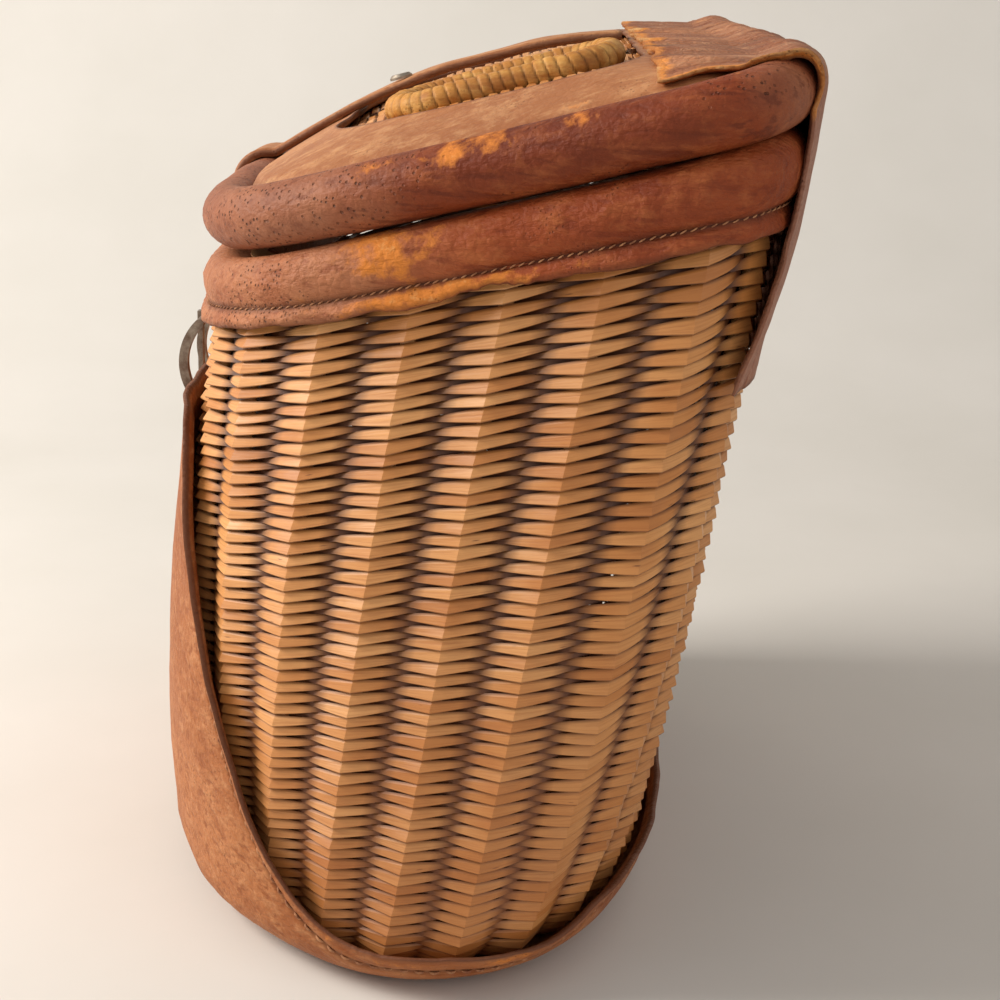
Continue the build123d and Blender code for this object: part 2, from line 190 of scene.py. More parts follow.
def rough(points, size, seed=0.0):
    # soft noise between -1 and 1 at each point; size is in millimetres
    shift = Vector((seed * 17.3, seed * 5.1, seed * 9.7))
    flat = np.reshape(points, (-1, 3)) / size
    got = np.array([noise.noise(Vector(p) + shift) for p in flat])
    return got.reshape(np.shape(points)[:-1])


def onLine(run):
    # points along one line, for noise that changes only that way
    return np.stack([run, 0 * run, 0 * run], -1)


def put(obj, body, slot, *nodes):
    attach(obj, body)
    if nodes:
        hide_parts(*nodes)


# Materials

def nodeMaterial(name):
    material = bpy.data.materials.new(name)
    material.use_nodes = True
    tree = material.node_tree
    shader = tree.nodes["Principled BSDF"]
    return material, tree, shader


def node(tree, kind, inputs=None, **settings):
    made = tree.nodes.new(kind)
    for key, value in settings.items():
        setattr(made, key, value)
    for key, value in (inputs or {}).items():
        if isinstance(value, bpy.types.NodeSocket):
            tree.links.new(value, made.inputs[key])
        else:
            made.inputs[key].default_value = value
    return made


def mixColour(tree, share, first, second, how="MIX"):
    made = tree.nodes.new("ShaderNodeMix")
    made.data_type = "RGBA"
    made.blend_type = how
    for socket, value in ((made.inputs[0], share), (made.inputs[6], first), (made.inputs[7], second)):
        if isinstance(value, bpy.types.NodeSocket):
            tree.links.new(value, socket)
        elif isinstance(value, tuple):
            socket.default_value = (*value, 1)
        else:
            socket.default_value = value
    return made.outputs[2]


def mapRange(tree, value, low, high, toLow=0.0, toHigh=1.0):
    return node(tree, "ShaderNodeMapRange", {"Value": value, "From Min": low, "From Max": high,
                                            "To Min": toLow, "To Max": toHigh}).outputs[0]


def maths(tree, how, first, second=0.0):
    return node(tree, "ShaderNodeMath", {0: first, 1: second}, operation=how).outputs[0]


def attribute(tree, name, kind="Fac"):
    return node(tree, "ShaderNodeAttribute", attribute_name=name).outputs[kind]


def noiseOf(tree, vector, scale, detail=4.0, roughness=0.55, stretch=None):
    if stretch:
        vector = node(tree, "ShaderNodeMapping", {"Vector": vector, "Scale": stretch}).outputs[0]
    return node(tree, "ShaderNodeTexNoise", {"Vector": vector, "Scale": scale, "Detail": detail,
                                            "Roughness": roughness}).outputs[0]


# willow colours; the darkest stands for dirt and for painted shade between the strands
willow = dict(
    pale=(0.74, 0.37, 0.135), honey=(0.54, 0.21, 0.052), tan=(0.32, 0.092, 0.018),
    grimeAndShade=(0.06, 0.014, 0.004), knot=(0.13, 0.04, 0.012), roughness=0.40,
)


def willowMaterial(name, look):
    # tone, fibre and sunk come from the mesh: each strand's shade, its length and width, and how deep it lies
    material, tree, shader = nodeMaterial(name)
    tone = attribute(tree, "tone")
    fibre = attribute(tree, "fibre", "Vector")
    place = node(tree, "ShaderNodeTexCoord").outputs["Object"]
    grain = noiseOf(tree, fibre, 1.0, 5, 0.65, (0.05, 3.0, 1.0))
    blotch = noiseOf(tree, place, 22.0, 3, 0.6)
    shade = maths(tree, "ADD", maths(tree, "MULTIPLY", tone, 0.4), maths(tree, "MULTIPLY", blotch, 0.62))
    colour = mixColour(tree, mapRange(tree, shade, 0.30, 0.62), look["pale"], look["honey"])
    colour = mixColour(tree, mapRange(tree, shade, 0.58, 0.95), colour, look["tan"])
    colour = mixColour(tree, mapRange(tree, grain, 0.46, 0.72, 0.0, 0.45), colour, look["tan"])
    across = node(tree, "ShaderNodeSeparateXYZ", {0: fibre}).outputs[1]
    # darker towards each strand's top and bottom edges, where it meets the next row
    edge = mapRange(tree, maths(tree, "ABSOLUTE", across), 0.68, 1.0, 0.0, 0.75)
    colour = mixColour(tree, edge, colour, look["grimeAndShade"])
    # painted shade: strands turn near black where they dive behind a stake, standing in for the shadow in the
    # spaces between rows
    paintedGapShade = mapRange(tree, attribute(tree, "sunk"), 0.32, 0.54, 0.0, 0.95)
    colour = mixColour(tree, paintedGapShade, colour, look["grimeAndShade"])
    spots = node(tree, "ShaderNodeTexVoronoi", {
        "Vector": node(tree, "ShaderNodeMapping", {"Vector": fibre, "Scale": (0.05, 0.55, 1.0)}).outputs[0],
        "Scale": 1.0}).outputs[0]
    colour = mixColour(tree, mapRange(tree, spots, 0.03, 0.07, 0.75, 0.0), colour, look["knot"])
    height = node(tree, "ShaderNodeSeparateXYZ", {0: place}).outputs[2]
    colour = mixColour(tree, mapRange(tree, height, 0.015, 0.14, 0.42, 0.0), colour, look["tan"])
    dirt = noiseOf(tree, place, 9.0, 4, 0.6)
    colour = mixColour(tree, mapRange(tree, dirt, 0.55, 0.8, 0.0, 0.35), colour, look["tan"], "MULTIPLY")
    tree.links.new(colour, shader.inputs["Base Color"])
    tree.links.new(mapRange(tree, grain, 0.3, 0.8, look["roughness"], look["roughness"] + 0.2),
                   shader.inputs["Roughness"])
    bump = node(tree, "ShaderNodeBump", {"Height": grain, "Strength": 0.35, "Distance": 0.0003})
    tree.links.new(bump.outputs[0], shader.inputs["Normal"])
    shader.inputs["Specular IOR Level"].default_value = 0.45
    return material


def leatherMaterial(name, look):
    # from the mesh: wear for scuffed places, edge for cut edges, a crease value for painted shade in creases,
    # seams, grooves, folds and between wraps, pale for faded places and pored for places with open pores
    material, tree, shader = nodeMaterial(name)
    place = node(tree, "ShaderNodeTexCoord").outputs["Object"]
    wear, edge, hollow, pale, pored = (
        attribute(tree, key) for key in ("wear", "edge", "hollow", "pale", "pored"))
    broad = noiseOf(tree, place, 14.0, 4, 0.6)
    fine = noiseOf(tree, place, 90.0, 6, 0.7)
    nap = noiseOf(tree, place, 230.0, 5, 0.7, (1.0, 0.3, 1.0))
    creases = noiseOf(tree, place, 380.0, 4, 0.6, (1.0, 0.13, 1.0))
    cells = node(tree, "ShaderNodeTexVoronoi", {"Vector": place, "Scale": look["grain"]},
                 feature="DISTANCE_TO_EDGE").outputs[0]
    colour = mixColour(tree, mapRange(tree, broad, 0.35, 0.65), look["dark"], look["base"])
    colour = mixColour(tree, mapRange(tree, fine, 0.50, 0.74, 0.0, look["mottle"]), colour, look["light"])
    # lighter where the nap bump rises and darker where it dips: partly the leather's own mottle, partly
    # painted highlight and shade
    colour = mixColour(tree, mapRange(tree, nap, 0.52, 0.72, 0.0, 0.55), colour, look["light"])
    colour = mixColour(tree, mapRange(tree, nap, 0.30, 0.46, 0.55, 0.0), colour, look["dark"])
    # painted shade: darker in the valleys of the wrinkle bump
    colour = mixColour(tree, mapRange(tree, creases, 0.36, 0.47, 0.6, 0.0), colour, look["dark"])
    faded = maths(tree, "MULTIPLY", pale, mapRange(tree, fine, 0.3, 0.7, 0.6, 1.0))
    colour = mixColour(tree, faded, colour, look["pale"])
    # more painted shade in the wrinkle valleys
    colour = mixColour(tree, mapRange(tree, creases, 0.34, 0.44, 0.45, 0.0), colour, look["dark"])
    scuff = maths(tree, "ADD", wear, mapRange(tree, fine, 0.35, 0.75, -0.40, 0.40))
    scuff = maths(tree, "ADD", scuff, mapRange(tree, broad, 0.3, 0.7, -0.12, 0.12))
    colour = mixColour(tree, mapRange(tree, scuff, 0.45, 0.75), colour, look["suede"])
    colour = mixColour(tree, mapRange(tree, scuff, 0.85, 1.15), colour, look["bare"])
    cracks = mapRange(tree, cells, 0.0, 0.06, 1.0, 0.0)
    colour = mixColour(tree, maths(tree, "MULTIPLY", cracks, look["crackTone"]), colour, look["deep"])
    pores = node(tree, "ShaderNodeTexVoronoi", {"Vector": place, "Scale": look["pores"]}).outputs[0]
    poreMask = maths(tree, "ADD", noiseOf(tree, place, 45.0), maths(tree, "MULTIPLY", pored, 0.22))
    pore = maths(tree, "MULTIPLY", mapRange(tree, pores, 0.14, 0.26, 1.0, 0.0),
                 mapRange(tree, poreMask, 0.52, 0.66))
    colour = mixColour(tree, maths(tree, "MULTIPLY", pore, 0.7), colour, look["deep"])
    colour = mixColour(tree, edge, colour, look["cut"])
    # painted shade: the crease value darkens creases, seams, grooves, folds and the spaces between wraps
    # towards the deep colour
    colour = mixColour(tree, maths(tree, "MULTIPLY", hollow, 0.85), colour, look["deep"])
    tree.links.new(colour, shader.inputs["Base Color"])
    tree.links.new(mapRange(tree, scuff, 0.2, 0.8, look["roughness"], 0.82), shader.inputs["Roughness"])
    height = maths(tree, "ADD", maths(tree, "MULTIPLY", fine, 0.9), maths(tree, "MULTIPLY", nap, 0.7))
    height = maths(tree, "ADD", height, maths(tree, "MULTIPLY", cells, look["crackle"]))
    height = maths(tree, "ADD", height, maths(tree, "MULTIPLY", creases, look["wrinkle"]))
    height = maths(tree, "SUBTRACT", height, maths(tree, "MULTIPLY", pore, 1.2))
    bump = node(tree, "ShaderNodeBump", {"Height": height, "Strength": look["relief"], "Distance": 0.0009})
    tree.links.new(bump.outputs[0], shader.inputs["Normal"])
    shader.inputs["Specular IOR Level"].default_value = look["shine"]
    return material


rimLeather = dict(
    base=(0.31, 0.062, 0.015), dark=(0.18, 0.029, 0.007), light=(0.44, 0.13, 0.040),
    suede=(0.62, 0.20, 0.035), bare=(0.76, 0.42, 0.16), deep=(0.030, 0.008, 0.003),
    cut=(0.14, 0.05, 0.025), pale=(0.50, 0.22, 0.105),
    grain=420.0, pores=760.0, crackTone=0.1, crackle=0.6, roughness=0.56, relief=0.75, shine=0.22,
    wrinkle=1.8, mottle=0.75,
)
rollLeather = dict(rimLeather, base=(0.25, 0.046, 0.011), dark=(0.12, 0.019, 0.005),
                   light=(0.36, 0.10, 0.030), pale=(0.36, 0.14, 0.07), pores=620.0, crackle=0.4, wrinkle=1.0)
bootLeather = dict(rimLeather, base=(0.42, 0.15, 0.05), dark=(0.26, 0.07, 0.017), light=(0.60, 0.29, 0.13),
                   crackle=0.6, relief=0.5, mottle=0.4)
oldLeather = dict(rimLeather, base=(0.40, 0.155, 0.068), dark=(0.21, 0.06, 0.024), light=(0.62, 0.32, 0.17),
                  suede=(0.66, 0.24, 0.05), pale=(0.36, 0.16, 0.105), crackTone=0.2, crackle=0.9, relief=0.7)
strapLeather = dict(rimLeather, base=(0.47, 0.20, 0.080), dark=(0.31, 0.11, 0.040), light=(0.63, 0.34, 0.16),
                    relief=0.35)
collarLeather = dict(rimLeather, base=(0.60, 0.28, 0.06), dark=(0.38, 0.14, 0.03), light=(0.76, 0.45, 0.14),
                     suede=(0.70, 0.36, 0.10), crackle=0.2, relief=0.35)

willowStrands = willowMaterial("willowStrands", willow)
willowRods = willowMaterial("willowRods", dict(willow, pale=(0.50, 0.25, 0.09), honey=(0.36, 0.15, 0.045)))
leathers = {key: leatherMaterial(key, look) for key, look in dict(
    rimLeather=rimLeather, rollLeather=rollLeather, bootLeather=bootLeather, oldLeather=oldLeather,
    strapLeather=strapLeather, collarLeather=collarLeather).items()}


def threadMaterial():
    material, tree, shader = nodeMaterial("waxedThread")
    place = node(tree, "ShaderNodeTexCoord").outputs["Object"]
    twist = noiseOf(tree, place, 600.0, 3)
    colour = mixColour(tree, mapRange(tree, twist, 0.35, 0.65), (0.20, 0.06, 0.02), (0.46, 0.21, 0.09))
    tree.links.new(colour, shader.inputs["Base Color"])
    bump = node(tree, "ShaderNodeBump", {"Height": twist, "Strength": 0.5, "Distance": 0.0002})
    tree.links.new(bump.outputs[0], shader.inputs["Normal"])
    shader.inputs["Roughness"].default_value = 0.7
    return material


def steelMaterial():
    material, tree, shader = nodeMaterial("agedSteel")
    place = node(tree, "ShaderNodeTexCoord").outputs["Object"]
    tarnish = noiseOf(tree, place, 160.0, 6, 0.7)
    colour = mixColour(tree, mapRange(tree, tarnish, 0.4, 0.62), (0.36, 0.31, 0.25), (0.15, 0.10, 0.07))
    tree.links.new(colour, shader.inputs["Base Color"])
    tree.links.new(mapRange(tree, tarnish, 0.35, 0.7, 0.38, 0.75), shader.inputs["Roughness"])
    tree.links.new(mapRange(tree, tarnish, 0.45, 0.6, 0.95, 0.45), shader.inputs["Metallic"])
    bump = node(tree, "ShaderNodeBump", {"Height": tarnish, "Strength": 0.4, "Distance": 0.0003})
    tree.links.new(bump.outputs[0], shader.inputs["Normal"])
    return material


waxedThread = threadMaterial()
agedSteel = steelMaterial()
print("materials are made")

# Camera, light, floor

camera = bpy.data.objects.new("camera", bpy.data.cameras.new("camera"))
bpy.context.collection.objects.link(camera)
bpy.context.scene.camera = camera
view = dict(at=(0.58185, 0.0267, 0.2712), yaw=-1.607, pitch=15.947, roll=1.498, lens=66.81)
yaw, pitch, roll = (radians(view[key]) for key in ("yaw", "pitch", "roll"))
right = Vector((sin(yaw), cos(yaw), 0))
ahead = Vector((-cos(yaw) * cos(pitch), sin(yaw) * cos(pitch), -sin(pitch)))
upward = right.cross(ahead)
imageRight = cos(roll) * right + sin(roll) * upward
imageUp = -sin(roll) * right + cos(roll) * upward
camera.matrix_world = Matrix((
    (imageRight.x, imageUp.x, -ahead.x, view["at"][0]),
    (imageRight.y, imageUp.y, -ahead.y, view["at"][1]),
    (imageRight.z, imageUp.z, -ahead.z, view["at"][2]),
    (0, 0, 0, 1)))
camera.data.lens = view["lens"]
camera.data.sensor_width = 36

studio = dict(
    floor=(0.70, 0.665, 0.62), key=(0.10, -1.0, 0.75), keySize=0.6, keyPower=18.0,
    fill=(1.3, 0.9, 0.7), fillSize=1.6, fillPower=4.5, skyStrength=0.54,
)


def areaLamp(name, at, aim, size, power, colour):
    lamp = bpy.data.lights.new(name, "AREA")
    lamp.size, lamp.energy, lamp.color = size, power, colour
    obj = bpy.data.objects.new(name, lamp)
    obj.location = at
    obj.rotation_euler = (Vector(aim) - Vector(at)).to_track_quat("-Z", "Y").to_euler()
    bpy.context.collection.objects.link(obj)


def floorMaterial():
    material, tree, shader = nodeMaterial("paleCloth")
    place = node(tree, "ShaderNodeTexCoord").outputs["Object"]
    mottle = noiseOf(tree, place, 6.0, 5)
    r, g, b = studio["floor"]
    colour = mixColour(tree, mapRange(tree, mottle, 0.35, 0.65), (r, g, b), (r * 0.95, g * 0.95, b * 0.94))
    tree.links.new(colour, shader.inputs["Base Color"])
    shader.inputs["Roughness"].default_value = 0.9
    return material


def addStage():
    # the floor runs back, curves up and goes on as a wall
    nearEdge, bend, radius, step, halfWidth = 2.2, -0.45, 0.5, 0.2, 3.5
    rows = [(nearEdge - i * step, 0.0) for i in range(14)]
    rows += [(bend - radius * sin(turn), radius * (1 - cos(turn))) for turn in np.linspace(0, pi / 2, 16)]
    rows += [(bend - radius, radius + i * step) for i in range(1, 11)]
    verts = [(x / mm, y / mm, z / mm) for x, z in rows for y in (-halfWidth, halfWidth)]
    stage = addMesh("floor", verts, gridFaces(len(rows), 2), floorMaterial())


addStage()
areaLamp("key", studio["key"], (0, 0, 0.1), studio["keySize"], studio["keyPower"], (1, 0.96, 0.90))
areaLamp("fill", studio["fill"], (0, 0, 0.12), studio["fillSize"], studio["fillPower"], (0.95, 0.97, 1))
world = bpy.data.worlds.new("studio")
world.use_nodes = True
world.node_tree.nodes["Background"].inputs[0].default_value = (1.0, 0.985, 0.96, 1)
world.node_tree.nodes["Background"].inputs[1].default_value = studio["skyStrength"]
bpy.context.scene.world = world
bpy.context.scene.view_settings.view_transform = "Standard"
print("camera, light and floor are set")


# Wicker

wickerWall = dict(
    pitch=1.75, first=8.0, last=214.0, width=3.75, waist=1.8, thickness=0.8, reach=2.9, middle=-2.3,
    perStake=8, tilt=20.0, uneven=0.3, girth=850.0,
)


def weave(name, surface, levels, stakes, start, look, closed=True):
    # flat split strands that pass outside one stake and inside the next, each row the other way
    per, rows, extra = look["perStake"], len(levels), 0 if closed else 1
    count = stakes * per + extra
    x = np.arange(count) / per
    u = (x + start) / stakes
    rowIndex = np.arange(rows)[:, None]
    beat = np.cos(pi * (x[None, :] + rowIndex))
    fold = np.arcsin(beat) * 2 / pi  # straight from crest to crest
    near = np.rint(x).astype(int) % (stakes + extra)
    full = np.abs(fold) ** 0.9

    def each(low, high):
        # one value for every crossing of a stake
        return rng.uniform(low, high, (rows, stakes + 1))[:, near] * full

    strand = np.cumsum(rng.random((rows, stakes + 1)) < 0.16, axis=1)
    strandTone = rng.random((rows, stakes + 2))
    tone = np.take_along_axis(strandTone, strand, 1)[:, near] * 0.55
    tone = tone + rng.random((rows, stakes + 1))[:, near] * 0.3 + 0.1
    width = look["waist"] + (look["width"] - look["waist"]) * full + each(-look["uneven"], look["uneven"])
    lift = each(-look["uneven"] * 0.8, look["uneven"] * 0.8)
    depth = look["middle"] + look["reach"] * fold + each(-0.25, 0.45) * np.sign(beat)
    tilt = np.radians(look["tilt"] + each(-8, 8))
    half, thick = width / 2, look["thickness"]
    section = [(-1, 0.05), (-0.7, 0.52), (0.6, 0.62), (1, 0.1), (0.6, -0.35), (-0.6, -0.35)]
    rings = []
    level = np.asarray(levels)[:, None] + np.zeros_like(beat)
    for a, b in section:
        rise = a * half * np.cos(tilt) - b * thick * np.sin(tilt)
        out = -a * half * np.sin(tilt) + b * thick * np.cos(tilt)
        rings.append(surface(u[None, :] + 0 * level, level + lift + rise, depth + out))
    verts = np.stack(rings, 2)  # rows, along, section
    across = np.array([a for a, b in section], float) + np.zeros(verts.shape[:3])
    n = len(section)
    faces = []
    for r in range(rows):
        base = r * count * n
        faces += gridFaces(count, n, wrapRows=closed, wrapColumns=True, base=base)
        if not closed:
            faces.append(tuple(base + k for k in range(n)))
            faces.append(tuple(base + (count - 1) * n + k for k in reversed(range(n))))
    runs = (u * look["girth"])[None, :, None] + 0 * across
    ownStrand = np.take_along_axis(strand, near[None, :] + 0 * rowIndex, 1)
    ids = rowIndex[:, :, None] * 7.31 + ownStrand[:, :, None] * 3.7  # sets the grain of each strand apart
    fibre = np.stack([runs + ids, across, ids + 0 * across], 3)
    sunk = (1 - fold) / 2
    obj = addMesh(name, verts.reshape(-1, 3), faces, willowStrands, dict(
        tone=np.repeat(tone.reshape(-1), n), sunk=np.repeat(sunk.reshape(-1), n), fibre=fibre.reshape(-1, 3)))
    obj.data.set_sharp_from_angle(angle=radians(16))
    return obj


def rods(name, paths, radius):
    # round willow rods along lists of points
    verts, faces, tones, fibres = [], [], [], []
    sides = 6
    turns = np.arange(sides) / sides * 2 * pi
    for index, path in enumerate(paths):
        path = np.asarray(path, float)
        along = unit(np.gradient(path, axis=0))
        upright = abs(along[:, 2]).mean() >= 0.7
        side = unit(np.cross(along, np.array((1.0, 0.3, 0) if upright else (0.3, 0.2, 1.0))))
        other = np.cross(along, side)
        base, n = sum(len(v) for v in verts), len(path)
        ring = side[:, None] * np.cos(turns)[None, :, None] + other[:, None] * np.sin(turns)[None, :, None]
        verts.append((path[:, None] + ring * radius).reshape(-1, 3))
        faces += gridFaces(n, sides, wrapColumns=True, base=base)
        faces.append(tuple(base + k for k in reversed(range(sides))))
        faces.append(tuple(base + (n - 1) * sides + k for k in range(sides)))
        tones.append(np.full(n * sides, rng.random()))
        run = np.repeat(np.arange(n) * 4.0, sides)
        fibres.append(np.stack([run, np.tile(np.cos(turns), n) * 0.5, np.full(n * sides, index * 3.1)], 1))
    return addMesh(name, np.vstack(verts), faces, willowRods,
                   dict(tone=np.concatenate(tones), fibre=np.vstack(fibres)))


wallLevels = np.arange(wickerWall["first"], wickerWall["last"], wickerWall["pitch"])
wallLevels = wallLevels + rng.normal(0, 0.06, len(wallLevels))
wallWeave = weave("wallWeave", wallPoint, wallLevels, creel["stakes"], creel["firstStake"], wickerWall)
put(wallWeave, "basket", "willow", "wicker_wall")
stakeLevels = np.arange(6, wickerWall["last"], 5.0)
stakePaths = [wallPoint((k + creel["firstStake"]) / creel["stakes"], stakeLevels, wickerWall["middle"])
              for k in range(creel["stakes"])]
stakeRods = rods("stakeRods", stakePaths, 1.9)
put(stakeRods, "basket", "willow_frame", "stakes")
print("the wall is woven")

# Leather boot

boot = dict(
    frontTop=155.0, topHalf=102.0, hipHalf=121.0, footHalf=136.0, corner=14.0, endTop=15.0, backTop=26.0,
    sideOut=5.3, bottomOut=2.3, thickness=2.0, hem=4.5, columns=720,
)


def bezier(a, b, c, d, count):
    t = np.linspace(0, 1, count)[:, None]
    a, b, c, d = (np.array(p, float) for p in (a, b, c, d))
    return (1 - t) ** 3 * a + 3 * (1 - t) ** 2 * t * b + 3 * (1 - t) * t ** 2 * c + t ** 3 * d


def bootEdge(front):
    # the height of the boot's edge at a distance from the middle
    b = boot
    if front:
        side = bezier((b["footHalf"], b["endTop"]), (b["hipHalf"], b["endTop"]),
                      (b["hipHalf"], b["frontTop"] / 2), (b["topHalf"], b["frontTop"] - b["corner"]), 60)
        cornerEnd = b["topHalf"] - b["corner"]
        top = bezier(side[-1], (b["topHalf"] - 1, b["frontTop"] - 2), (cornerEnd + 5, b["frontTop"]),
                     (cornerEnd, b["frontTop"]), 12)
        line = np.vstack([side, top])
    else:
        line = bezier((b["footHalf"], b["endTop"]), (b["hipHalf"], b["endTop"]), (b["hipHalf"], b["backTop"]),
                      (b["topHalf"], b["backTop"]), 60)
    line = line[::-1]  # from the middle out
    return lambda x: np.interp(np.abs(x), line[:, 0], line[:, 1])


def bootTops():
    # how far up the wall the boot reaches in each column
    count = boot["columns"]
    tops = np.zeros(count)
    frontEdge, backEdge = bootEdge(True), bootEdge(False)
    middle = creel["rimMiddle"] - (creel["baseFront"] - creel["baseBack"]) / 2
    levels = np.arange(2, 190, 0.5)
    for k in range(count):
        points = wallPoint(np.full(len(levels), k / count), levels, boot["sideOut"])
        edge = np.where(points[:, 1] < middle, frontEdge(points[:, 0]), backEdge(points[:, 0]))
        above = np.nonzero(points[:, 2] >= edge)[0]
        tops[k] = levels[above[0]] if len(above) else levels[-1]
    for _ in range(2):
        tops = (np.roll(tops, 1) + tops * 2 + np.roll(tops, -1)) / 4
    return tops


def bootOut(v):
    rise = np.clip(v / 22, 0, 1)
    return boot["bottomOut"] + (boot["sideOut"] - boot["bottomOut"]) * rise * rise * (3 - 2 * rise)


def addBoot():
    count = boot["columns"]
    u = np.arange(count) / count
    tops = bootTops()
    tops = tops + rough(wallPoint(u, tops), 22, 3) * 0.7
    inward = np.array([0, 0.6, 1.4, 2.4, 3.4, 4.2, 5.0, 6.0, 7.4, 9.4])  # rows near the cut edge
    steps = np.linspace(1, 0, 22)[1:]
    levels = [tops - d for d in inward]
    levels += [(tops - inward[-1]) * s for s in steps]
    levels = np.maximum(np.array(levels), 0)
    uu = np.broadcast_to(u, levels.shape)
    place = wallPoint(uu, levels, 4.0)
    swell = rough(place, 26, 1) * 0.55 + rough(place, 9, 2) * 0.2
    fromEdge = tops[None, :] - levels
    groove = np.exp(-((fromEdge - boot["hem"]) / 0.7) ** 2)
    curl = np.exp(-(fromEdge / 3.0) ** 2) * (0.7 + rough(place, 18, 5) * 0.9)
    out = bootOut(levels) + swell * np.clip(levels / 20, 0, 1) - groove * 0.55 + curl
    outer = wallPoint(uu, levels, out)
    inner = wallPoint(uu, levels, out - boot["thickness"] * np.clip(0.55 + fromEdge / 2.5, 0.55, 1))
    # the bottom: rings in to the middle
    foot = outer[-1]
    centre = foot.mean(0)
    bottomOuter, bottomInner = [], []
    for share in (0.9, 0.75, 0.55, 0.3):
        ring = centre + (foot - centre) * share
        ring[:, 2] = foot[:, 2].min()
        bottomOuter.append(ring)
        bottomInner.append(ring + np.array((0, 0, boot["thickness"])))
    # from the middle of the bottom up inside, over the cut edge, and down outside
    verts = np.array(bottomInner[::-1] + list(inner[::-1]) + list(outer) + bottomOuter)
    n = len(verts)
    faces = gridFaces(n, count, wrapColumns=True)
    faces.append(tuple(reversed(range(count))))
    faces.append(tuple((n - 1) * count + k for k in range(count)))
    cutRow = len(bottomInner) + len(levels)  # the first row outside
    edge = np.zeros((n, count))
    edge[cutRow - 2:cutRow + 1] = 0.9
    edge[cutRow + 1] = 0.35
    # painted shade in the stitched groove below the cut edge
    hollow = np.zeros((n, count))
    hollow[cutRow:cutRow + len(levels)] = np.clip(groove, 0, 1) * 0.7
    low = np.clip(1 - verts[..., 2] / 30, 0, 1)
    wear = low * 0.35 + 0.25 * np.clip(rough(verts, 30, 8), 0, 1)
    wear[cutRow + 1:cutRow + 4] += 0.25
    obj = addSkin("bootSkin", verts, [f[::-1] for f in faces], "bootLeather",
                  edge=edge, hollow=hollow, wear=wear)
    put(obj, "basket", "harness_leather", "leather_boot")
    return tops


bootTopLine = addBoot()
print("the boot is on")


def stitches(name, points, normals, every, length, thickness, body, slant=0.0):
    # short waxed stitches laid along a line of points
    run = lengthAlong(points)
    shape = ((-1, 0.25), (-0.7, 0.85), (0, 1.0), (0.7, 0.85), (1, 0.25))  # how far along, and how wide
    sides = 6
    verts, faces = [], []
    at = every / 2
    while at < run[-1] - length:
        centre = placeAt(at, run, points)
        forward = placeAt(at + 0.5, run, points) - centre
        normal = placeAt(at, run, normals)
        forward /= np.linalg.norm(forward)
        normal /= np.linalg.norm(normal)
        forward = forward * cos(slant) + np.cross(normal, forward) * sin(slant)
        side = np.cross(normal, forward)
        base = len(verts)
        for t, wide in shape:
            rise = (1 - t * t) * thickness * 0.75
            for k in range(sides):
                turn = k / sides * 2 * pi
                verts.append(centre + forward * t * length / 2 + side * cos(turn) * wide * thickness / 2
                             + normal * (sin(turn) * wide * thickness / 2 + rise - thickness * 0.35))
        faces += gridFaces(len(shape), sides, wrapColumns=True, base=base)
        faces.append(tuple(base + k for k in reversed(range(sides))))
        faces.append(tuple(base + (len(shape) - 1) * sides + k for k in range(sides)))
        at += every * rng.uniform(0.92, 1.08)
    put(addMesh(name, verts, faces, waxedThread), body, "harness_leather")


def bootStitches():
    u = np.arange(boot["columns"] + 1) / boot["columns"]
    tops = np.append(bootTopLine, bootTopLine[0]) - boot["hem"]
    points = wallPoint(u, tops, boot["sideOut"] - 0.3)
    normals = tableAt(wallOut, u, tops)
    stitches("bootStitches", points, normals, 4.2, 2.9, 0.8, "basket")


bootStitches()

# Rim binding

binding = dict(top=217.3, hem=198.3, seam=203.3, columns=900, girth=860.0, stitch=2.4)


